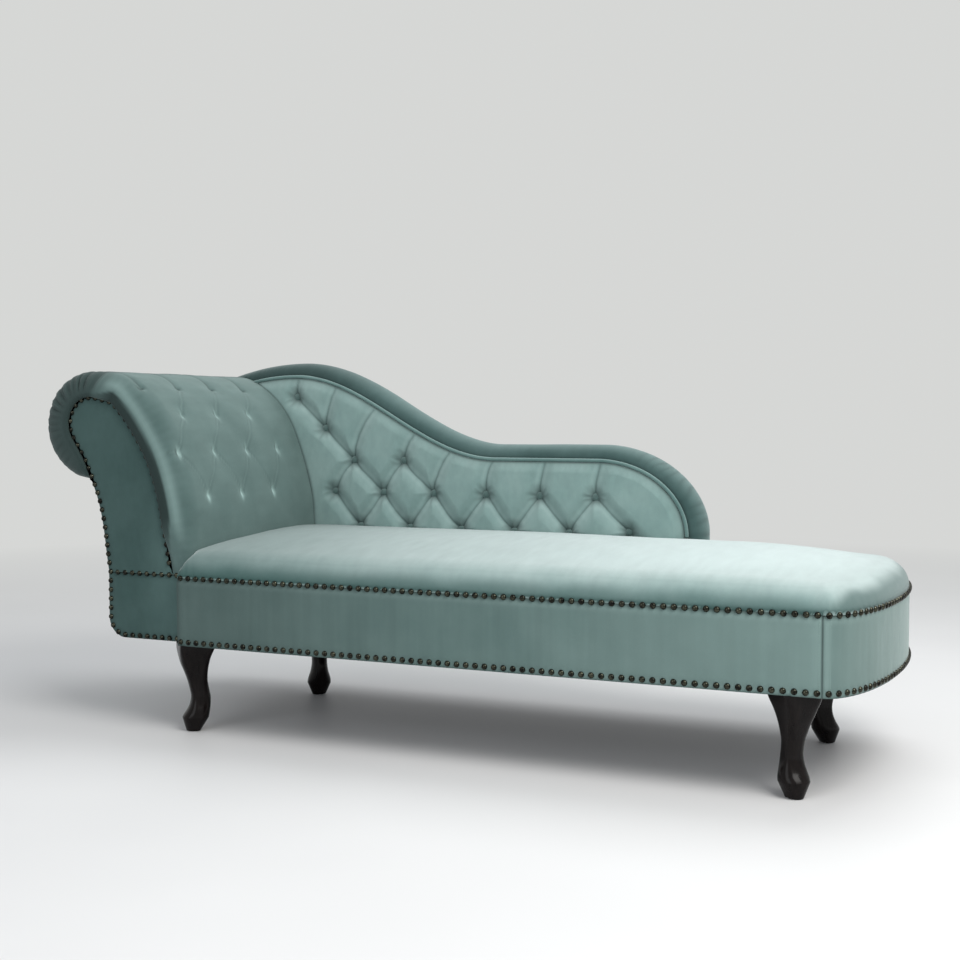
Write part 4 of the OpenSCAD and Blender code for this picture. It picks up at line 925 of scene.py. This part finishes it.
def make_back():
    """Tufted face: it sinks at folds and buttons, has a crease down each fold and is puckered at its edge;
    it gets painted shade in its hollows and painted light where it faces up.
    """
    fold_d, button_d = 10 * MM, 7 * MM
    fold_w, edge_reach, button_w = 0.28 * tuft_pitch, 0.19 * tuft_pitch, 0.24 * tuft_pitch
    x, z = back_grid()
    button, turn = np.full(x.shape, 1e9), np.zeros(x.shape)
    for c in button_places:
        d = np.hypot(x - c[0], z - c[1])
        turn = np.where(d < button, np.arctan2(z - c[1], x - c[0]), turn)
        button = np.minimum(button, d)
    # Folds waver a little between the buttons
    free = 1 - peak(button, 14)
    wx = x + 3 * MM * free * wander(52, x, z, 0.045)
    wz = z + 2 * MM * free * wander(53, x, z, 0.045)
    fold, line_d, dying = np.full(x.shape, 1e9), np.full(x.shape, 1e9), np.zeros(x.shape)
    for line, fade in back_folds():
        parts = len(line) - 1
        for i in range(parts):
            d, t = to_segment(wx, wz, line[i], line[i + 1])
            weak = fade((i + t) / parts)
            fold = np.minimum(fold, np.hypot(d, button_d * weak))
            dying = np.where(d < line_d, weak, dying)
            line_d = np.minimum(line_d, d)
    # Full cushions between folds, buttons and the edge, with a crease in each fold
    edge = np.minimum(to_line(x, z, piping_line), np.abs(x_end - x))
    side = np.abs(x - arm_face_x(z))
    rise = lambda d, w: np.sin(np.pi / 2 * np.clip(d / w, 0, 1))
    depth = fold_d * (1 - rise(fold, fold_w) * rise(edge, edge_reach))
    depth += button_d * (1 - rise(button, button_w))
    strength = (1 - 0.45 * dying) * past(edge, 0, 6)
    depth += 1.5 * MM * peak(line_d, 2) * strength
    # Small puckers round the buttons and along the edge
    ring = peak(button, 9, 17)
    pinch = ripple(turn, 2 * np.pi / 7, 3 * wander(54, x, z, 0.02))
    depth += 0.8 * MM * ring * pinch
    depth += 0.6 * MM * wander(51, x, z, 0.05) * rise(fold, fold_w)
    puckers = ripple(x + 4 * MM * wander(55, x, z, 0.03), 15 * MM)
    depth += 0.5 * MM * peak(edge, 7, 9) * puckers
    # Painted shade in the creases, the button pits, along the edge, beside the arm and on faces turned down
    # or towards the arm; painted light beside the folds and on faces turned up
    points = grid_of(x, y_pad + np.maximum(depth, 0.2 * MM), z)
    facing = grid_normals(points, np.array([0, -1, 0]))
    creased = either(0.6 * peak(line_d, 1.7) * strength, 0.95 * peak(button, 15),
                     0.75 * peak(edge, 3), 0.25 * peak(edge, 14),
                     0.75 * peak(side, 5), 0.22 * ring * (1 - pinch) ** 3,
                     0.10 * peak(fold, 9), 0.55 * np.clip(-facing[..., 2] - 0.04, 0, 0.6),
                     0.25 * np.clip(-facing[..., 0] - 0.04, 0, 0.6))
    upward = 0.30 * np.clip(facing[..., 2] - 0.06, 0, 0.5) * past(edge, 15, 20)
    brushed = either(0.10 * peak(line_d, 4, 7), upward)
    back = closed_to("back_velvet", points.reshape(-1, 3), grid_faces(*x.shape), rim_of(*x.shape), 1, y_foam,
                     velvet_back, "velvet_tufted", "back_cover", creased=creased, brushed=brushed)


make_back()


def clip_at_arm(rings):
    """Points that would lie in the arm come out to its skin."""
    rings[..., 0] = np.maximum(rings[..., 0], arm_face_x(rings[..., 2]) + 0.5 * MM)
    return rings


def make_border():
    """Stuffed roll round the back, with gathers where it turns down at the end."""
    drop = [[x_end, z] for z in np.linspace(end_z - 8 * MM, rail_top, 12)]
    line = resample(np.concatenate([piping_line, drop]), 3.5 * MM)
    line = line[line[:, 0] > x_crest + 20 * MM]
    out = -right_of(line)
    a = np.radians(np.linspace(0, 180, 33))
    s, aa = np.broadcast_arrays(lengths(line)[:, None], a[None, :])
    y = border_y0 + (y_rear - cloth - border_y0) * (1 - np.cos(a)) / 2
    turned = past(line[:, 0] - x_low, 30, 90)[:, None]
    wave = ripple(s + 9 * MM * wander(61, s, aa * 0.02, 0.03), 19 * MM)
    gathers = 0.6 * MM * turned * wave * np.sin(aa) ** 0.5 * (0.6 + 0.4 * wander(64, s, aa * 0.03, 0.03))
    crest = step_up((x_hump + 0.06 - line[:, 0]) / 0.12)[:, None]
    fine = ripple(s + 3 * MM * wander(62, s, aa * 0.03, 0.02), 11 * MM)
    lift = border_h * np.sin(a)[None, :] ** 0.6 - gathers - 0.8 * MM * crest * fine * bell((aa - 0.5) / 0.5)
    lift += (0.8 * MM * wander(63, s, aa * 0.04, 0.08)) * np.sin(aa)
    lift = gap + np.maximum(lift, 0.3 * MM)
    rings = clip_at_arm(grid_of(line[:, :1] + out[:, :1] * lift, y, line[:, 1:] + out[:, 1:] * lift))
    # Painted shade in the gathers, along the roll's front edge and over the crest by the arm
    shade = 0.5 * (1 - step_up((line[:, :1] - x_hump) / 0.25)) + 0 * aa
    creased = either(0.3 * turned * wave ** 3 * np.sin(aa), 0.6 * bell(aa / 0.12), shade)
    roll = loft("border_velvet", rings, velvet_border, "velvet_border", "back_border", creased=creased)


def make_piping():
    """Covered cord along the border's front edge, with the small pulls of its seam."""
    line = resample(piping_line[piping_line[:, 0] > x_seam - 180 * MM], 3 * MM)
    out = -right_of(line)
    s, a = np.broadcast_arrays(lengths(line)[:, None], np.linspace(0, 2 * np.pi, 17)[None, :-1])
    r = piping_d / 2 * (1 - 0.05 * ripple(s, 9 * MM) + 0.03 * wander(71, s, a * 0.01, 0.02))
    mid = line + out * (gap + piping_d / 2)
    rings = grid_of(mid[:, :1] + out[:, :1] * r * np.cos(a), border_y0 - piping_d / 2 - gap - r * np.sin(a),
                    mid[:, 1:] + out[:, 1:] * r * np.cos(a))
    loft("piping_velvet", clip_at_arm(rings), velvet_piping, "velvet_piping", "back_piping")


make_border()
make_piping()

# Small pieces that repeat: buttons, nails and stitches


def copies(name, model, matrices):
    """One object of many copies of a small model, each with its own points."""
    mesh = bpy.data.meshes.new(name)
    made = bmesh.new()
    for matrix in matrices:
        first = len(made.verts)
        made.from_mesh(model.data)
        made.verts.ensure_lookup_table()
        bmesh.ops.transform(made, matrix=matrix, verts=made.verts[first:])
    made.to_mesh(mesh)
    made.free()
    return new_object(name, mesh)


def facing_way(place, way, turn=0.0):
    """Matrix that puts a model, standing on its XY plane, on a place and looking along a way."""
    aimed = Vector(way).to_track_quat("Z", "Y").to_matrix().to_4x4()
    return Matrix.Translation(Vector(place)) @ aimed @ Matrix.Rotation(turn, 4, "Z")


def dome_model(segments, rings, radius, cut_z, flatten):
    """A ball, cut flat below and pressed down."""
    bpy.ops.mesh.primitive_uv_sphere_add(segments=segments, ring_count=rings, radius=radius)
    bpy.ops.object.mode_set(mode="EDIT")
    bpy.ops.mesh.select_all(action="SELECT")
    bpy.ops.mesh.bisect(plane_co=(0, 0, cut_z), plane_no=(0, 0, 1), clear_inner=True, use_fill=True)
    bpy.ops.mesh.select_all(action="SELECT")
    bpy.ops.transform.resize(value=(1, 1, flatten))
    bpy.ops.object.mode_set(mode="OBJECT")
    return bpy.context.object


def make_buttons():
    """Covered buttons: a domed cap with small pleats at its rim, drawn deep into the padding."""
    cap = dome_model(24, 12, 8.5 * MM, -2 * MM, 0.62)
    for v in cap.data.vertices:
        r, turn = math.hypot(v.co.x, v.co.y), math.atan2(v.co.y, v.co.x)
        v.co.xy *= 1 - 0.05 * ripple(turn, math.pi / 6) * min(1, r / (8 * MM)) ** 3
    matrices = [facing_way((x, border_y0 - 0.5 * MM, z), (0, -1, 0), 0.7 * i)
                for i, (x, z) in enumerate(button_places)]
    dress(copies("back_button_caps", cap, matrices), velvet_button, ["back_buttons"])
    bpy.data.objects.remove(cap)


def make_nails():
    """Low domes in rows on the seat's path and on the arm's front, each driven a little askew."""
    model = dome_model(14, 8, nail_d / 2, 0, 0.8)
    rng = np.random.default_rng(5)
    s = lengths(seat_path)

    def row(z):
        out = []
        for t in seat_nail_s:
            k = min(np.searchsorted(s, t) - 1, len(seat_path) - 2)
            way = (seat_path[k + 1] - seat_path[k]) / (s[k + 1] - s[k])
            p = seat_path[k] + way * (t - s[k])
            askew = (way[1], -way[0], 0.06 * rng.uniform(-1, 1))
            out.append(facing_way((p[0], p[1], z), askew, rng.uniform(0, 6)))
        return out

    def face(places):
        out = []
        for x, z in places:
            askew = (0.05 * rng.uniform(-1, 1), -1, 0.05 * rng.uniform(-1, 1))
            out.append(facing_way((x, y_arm, z), askew, rng.uniform(0, 6)))
        return out

    rows = (("upper_nails", "seat_nails", row(nail_z)), ("lower_nails", "base_nails", row(low_row_z)),
            ("scroll_nails", "facing_nails", face(facing_nails)),
            ("arm_base_nail_heads", "arm_base_nails", face(base_nails)))
    for name, node, matrices in rows:
        dress(copies(name, model, matrices), nail_brass, [node], 40)
    bpy.data.objects.remove(model)


def make_stitches():
    """Topstitching beside the seam at the foot corner, one row before it and two after it."""
    thread_r, stitch_pitch, proud = 0.5 * MM, 4.6 * MM, 0.35 * MM
    bpy.ops.mesh.primitive_uv_sphere_add(segments=6, ring_count=5, radius=thread_r)
    model = bpy.context.object
    bpy.ops.transform.resize(value=(1, 1, 3.6))
    bpy.ops.object.transform_apply(location=True, rotation=True, scale=True)
    matrices = []
    for d in (-stitch_rows[0], *stitch_rows):
        before, place, after = along_line(seat_path, seam_s + np.array([d - MM, d, d + MM]))
        way = (after - before) / (2 * MM)
        x, y = place + proud * np.array([way[1], -way[0]])
        for z in np.arange(low_row_z + 9 * MM, nail_z - 8 * MM, stitch_pitch):
            matrices.append(Matrix.Translation(Vector((x, y, z))))
    dress(copies("corner_stitches", model, matrices), thread)
    bpy.data.objects.remove(model)


make_buttons()
make_nails()
make_stitches()

# Rear and underside: flat cloth


def rear_panel(name, xs, low, top, shares, slack, fold, tall, rests_on):
    """Velvet of the rear between two lines over places along X, turned over at its edges."""
    seed, height, cell = slack
    z = low[:, None] + (top - low)[:, None] * shares[None, :]
    x = np.broadcast_to(xs[:, None], z.shape)
    edge = np.minimum(z - low[:, None], top[:, None] - z)
    lift = height * wander(seed, x, z, cell) * past(edge, 0, 40) - fold * (1 - swell(edge / (5 * MM)))
    outer = grid_of(x, y_rear + lift, z)
    # Painted shade along the turned edges
    sheet_of(name, outer, grid_of(x, y_rear - cloth, z), velvet_rear, "velvet_rear", "rear_cover", rests_on,
             (xs[-1] - xs[0], tall), area_of(outer[..., [0, 2]]), creased=0.5 * peak(edge, 3))


def make_rear():
    """One sheet over the base, the back and the arm, and one over the rest of the base."""
    over = 10 * MM
    x_over = x_end + over
    xs = np.concatenate([x_left + roll_r * (1 - np.cos(np.linspace(0.05, np.pi / 2, 26))),
                         np.arange(roll_c[0] + 4 * MM, x_over, 6 * MM), [x_over]])
    roll_half = chord(roll_r, xs - roll_c[0])
    on_face = np.interp(xs, face_line[::-1, 0], face_line[::-1, 1])
    arm_top = np.where(xs < roll_c[0], roll_c[1] + roll_half, on_face)
    back_top = np.where(xs > x_crest, piping_z(np.minimum(xs, x_end)) + over, 0)
    top = np.maximum(arm_top * (xs < x_seam), back_top * (xs > x_hump - 0.11)) - 0.3 * MM
    order = np.argsort(side_below_neck[:, 0])
    neck_side = np.interp(xs, side_below_neck[order, 0], side_below_neck[order, 1])
    roll_low = roll_c[1] - roll_half
    heel = heel_c[1] - chord(side_r, np.minimum(xs, heel_c[0]) - heel_c[0])
    low = np.where(xs < x_side, np.minimum(neck_side, roll_low), heel)
    low = np.where(xs < roll_c[0], roll_low, np.where(xs > heel_c[0], base_z, low))
    rear_panel("rear_velvet", xs, low, top, eased(81), (81, 0.8 * MM, 0.12), 1.6 * MM, arm_h - base_z,
               ["rear_rail", "back_top_rail", "arm_rear_post"])
    xs = np.concatenate([np.linspace(x_over, notch_x - gap, 8), np.linspace(notch_x, x_foot, 56)])
    top = np.where(xs < notch_x, rail_top + 6 * MM, nail_z - gap)
    rear_panel("rear_base_velvet", xs, np.full(xs.shape, base_z), top, np.linspace(0, 1, 31),
               (82, 0.6 * MM, 0.1), 1.4 * MM, rail_top - base_z, ["rear_rail"])


inset = cloth + 2 * gap


def undercloth(name, x_start, y_start, y_stop, rows):
    """Thin black cloth stapled under the rails, with a little sag."""
    ys = np.linspace(y_start, y_stop, rows)[:, None]
    ends = x_foot + (bow - inset) * chord(1, (ys - y_mid) / (half_d - inset))
    x = x_start + (ends - x_start) * np.linspace(0, 1, 90)
    y = np.broadcast_to(ys, x.shape)
    edge = np.minimum(np.minimum(x - x_start, ends - x), np.minimum(y - y_front, y_rear - y) - inset)
    sag = (1.2 * MM * wander(91, x, y, 0.11) - 0.4 * MM) * step_up(edge / 0.05)
    outer = grid_of(x, y, base_z + 0.6 * MM + sag * 0.4)
    sheet_of(name, outer, grid_of(x, y, base_z + 2 * MM), black_cloth, "dust_cloth", "dust_cover",
             ["front_rail", "foot_rail"], (ends.max() - x_start, y_stop - y_start), area_of(outer[..., :2]))


make_rear()
undercloth("undercloth_front", x_seam + inset, y_front + inset, y_arm + inset, 12)
undercloth("undercloth", heel_c[0], y_arm + inset, y_rear - inset, 90)

# Foams and the deck over the springs keep their forms


def form_of(node, name, material, round_edges=0.0):
    """A piece cut to the form of a part of the frame, with softened edges."""
    obj = new_object(name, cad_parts[node].data.copy())
    for key in list(obj.data.attributes.keys()):
        if key.startswith("sharp"):
            obj.data.attributes.remove(obj.data.attributes[key])
    only(obj)
    bpy.ops.object.mode_set(mode="EDIT")
    bpy.ops.mesh.select_all(action="SELECT")
    bpy.ops.mesh.remove_doubles(threshold=0.00001)
    bpy.ops.mesh.customdata_custom_splitnormals_clear()
    bpy.ops.mesh.dissolve_limited(angle_limit=math.radians(1))
    bpy.ops.object.mode_set(mode="OBJECT")
    if round_edges:
        bevel = obj.modifiers.new("rounded", "BEVEL")
        bevel.width = round_edges
        bevel.segments = 3
        bevel.limit_method = "ANGLE"
        bevel.angle_limit = math.radians(40)
        bpy.ops.object.modifier_apply(modifier=bevel.name)
    obj.select_set(False)
    return dress(obj, material, [node], 60)


for foam_node in ("seat_foam", "back_foam"):
    form_of(foam_node, foam_node + "_slab", foam, 2 * MM)
deck = form_of("spring_cloth", "spring_deck_cloth", burlap)

# Legs: knee, shin and a foot with a sharp edge. A row has the height as a share of the leg's, then as shares
# of its width the reach ahead, behind and aside, and how square it is. A place has X and Y in millimetres
# and the way the knee points, in degrees
leg_w, glide_h = 60 * MM, 1.5 * MM
leg_rows = [[1, 0.60, 0.60, 0.58, 9], [0.93, 0.60, 0.51, 0.555, 7], [0.85, 0.565, 0.43, 0.49, 5],
            [0.77, 0.51, 0.38, 0.425, 4], [0.69, 0.42, 0.35, 0.37, 3.4], [0.61, 0.335, 0.34, 0.325, 3],
            [0.54, 0.275, 0.355, 0.287, 2.7], [0.46, 0.22, 0.40, 0.272, 2.5], [0.39, 0.185, 0.44, 0.28, 2.4],
            [0.31, 0.22, 0.445, 0.32, 2.3], [0.24, 0.31, 0.425, 0.385, 2.2], [0.19, 0.41, 0.40, 0.42, 2.2],
            [0.155, 0.47, 0.38, 0.425, 2.2]]
leg_foot_rows = [[0.145, 0.472, 0.375, 0.42, 2.2], [0.07, 0.41, 0.24, 0.33, 2.2],
                 [0, 0.35, 0.10, 0.245, 2.2]]
leg_places = {"leg_front_arm": (-462, -260, -135), "leg_front_foot": (712, -260, -45),
              "leg_rear_arm": (-431, 150, 135), "leg_rear_foot": (683, 150, 45)}


def make_leg(node, x, y, turn):
    """Cabriole leg: rings that are square at the knee and round at the foot."""
    rows = np.concatenate([catmull(leg_rows, 5), leg_foot_rows])
    height, front, rear, half, square = [rows[:, k:k + 1] for k in range(5)]
    a = 2 * np.pi * (np.arange(64) + 0.5) / 64
    u, w = [np.sign(c) * np.abs(c) ** (2 / square) for c in (np.cos(a)[None, :], np.sin(a)[None, :])]
    ahead = leg_w * np.where(u > 0, front, rear) * u
    aside = leg_w * half * w
    ct, st = math.cos(math.radians(turn)), math.sin(math.radians(turn))
    rings = grid_of(x + ahead * ct - aside * st, y + ahead * st + aside * ct,
                    glide_h + (base_z - glide_h) * height)
    loft(node + "_wood", rings, espresso, "leg_wood", node)


for leg, (leg_x, leg_y, leg_turn) in leg_places.items():
    make_leg(leg, leg_x * MM, leg_y * MM, leg_turn)

# Finishes of the parts of the frame that stay as they are
finishes = {
    pine_x: ["front_rail", "rear_rail", "spring_rail", "back_top_rail", "back_tack_rail"],
    pine_y: ["foot_rail", "head_rail", "cross_rails", "arm_stretchers"],
    pine_z: ["leg_blocks", "arm_front_post", "arm_rear_post", "back_uprights"],
    hardboard: ["arm_lining"],
    jute: ["back_webbing"],
    steel: ["seat_springs", "spring_clips", "leg_bolts", "t_nuts", "frame_screws"],
    glide_plastic: ["foot_glides"],
}
for finish, names in finishes.items():
    for node_name in names:
        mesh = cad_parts[node_name].data
        mesh.materials.clear()
        mesh.materials.append(finish)

# Floor, background, lamps and camera

backdrop = (0.672, 0.680, 0.668, 1)


def show_both(tree, output, share, a, b):
    """Gives an output two shaders, mixed by a share."""
    both = new_node(tree, "MixShader", {"Fac": share, 1: a, 2: b})
    feed(tree, tree.nodes[output], {"Surface": both.outputs["Shader"]})


def make_floor():
    """Pale floor that goes over into the backdrop far from the couch, for the camera alone."""
    bpy.ops.mesh.primitive_circle_add(vertices=96, radius=14, fill_type="NGON", location=(0, 0, 0))
    floor = bpy.context.object
    floor.name = "studio_floor"
    material, tree, shader = new_finish("pale_floor")
    cloudy = ramp(tree, noise(tree, 0.9, 3), (0.3, 0.70), (0.7, 0.76))
    feed(tree, shader, {"Base Color": cloudy, "Roughness": 0.55})
    coords = new_node(tree, "TexCoord").outputs["Object"]
    reach = new_node(tree, "VectorMath", {0: coords}, operation="LENGTH").outputs["Value"]
    far = new_node(tree, "MapRange", {"From Min": 1.3, "From Max": 4.5, "Value": reach}).outputs["Result"]
    camera_ray = new_node(tree, "LightPath").outputs["Is Camera Ray"]
    haze = new_node(tree, "Emission", {"Color": backdrop}).outputs["Emission"]
    seen_far = combine(tree, "MULTIPLY", far, camera_ray)
    show_both(tree, "Material Output", seen_far, shader.outputs["BSDF"], haze)
    floor.data.materials.append(material)


def make_world():
    """Even light from all round; the camera, gloss and glass see the backdrop in its place."""
    world = bpy.data.worlds.new("studio")
    bpy.context.scene.world = world
    world.use_nodes = True
    tree = world.node_tree
    lit = tree.nodes["Background"]
    feed(tree, lit, {"Color": (0.93, 0.96, 1.0, 1), "Strength": 0.5})
    seen = new_node(tree, "Background", {"Color": backdrop, "Strength": 1.0})
    rays = new_node(tree, "LightPath").outputs
    direct = rays["Is Camera Ray"]
    for kind in ("Is Glossy Ray", "Is Transmission Ray"):
        direct = combine(tree, "MAXIMUM", direct, rays[kind])
    show_both(tree, "World Output", direct, lit.outputs["Background"], seen.outputs["Background"])


def lamp(name, place, aim, size, power, colour):
    light = bpy.data.lights.new(name, "AREA")
    light.shape = "SQUARE"
    light.size = size
    light.energy = power
    light.color = colour
    obj = new_object(name, light)
    obj.location = place
    obj.rotation_euler = (Vector(aim) - Vector(place)).to_track_quat("-Z", "Y").to_euler()


make_floor()
make_world()
lamp("key", (2.1, -1.2, 2.6), (0.2, 0, 0.35), 1.8, 80, (1.0, 0.985, 0.96))
lamp("fill", (-0.9, -3.4, 1.5), (0, 0, 0.35), 2.0, 26, (0.94, 0.97, 1.0))
lamp("top", (0.6, 1.5, 2.9), (0.2, 0, 0.4), 2.0, 38, (0.97, 0.99, 1.0))

camera = bpy.data.cameras.new("camera")
camera.lens, camera.sensor_width = 52.5, 36
view = new_object("camera", camera)
view.location = (1.191, -2.515, 0.613)
view.rotation_euler = (math.radians(87.51), 0, math.radians(24.73))
bpy.context.scene.camera = view
bpy.context.scene.view_settings.view_transform = "Standard"
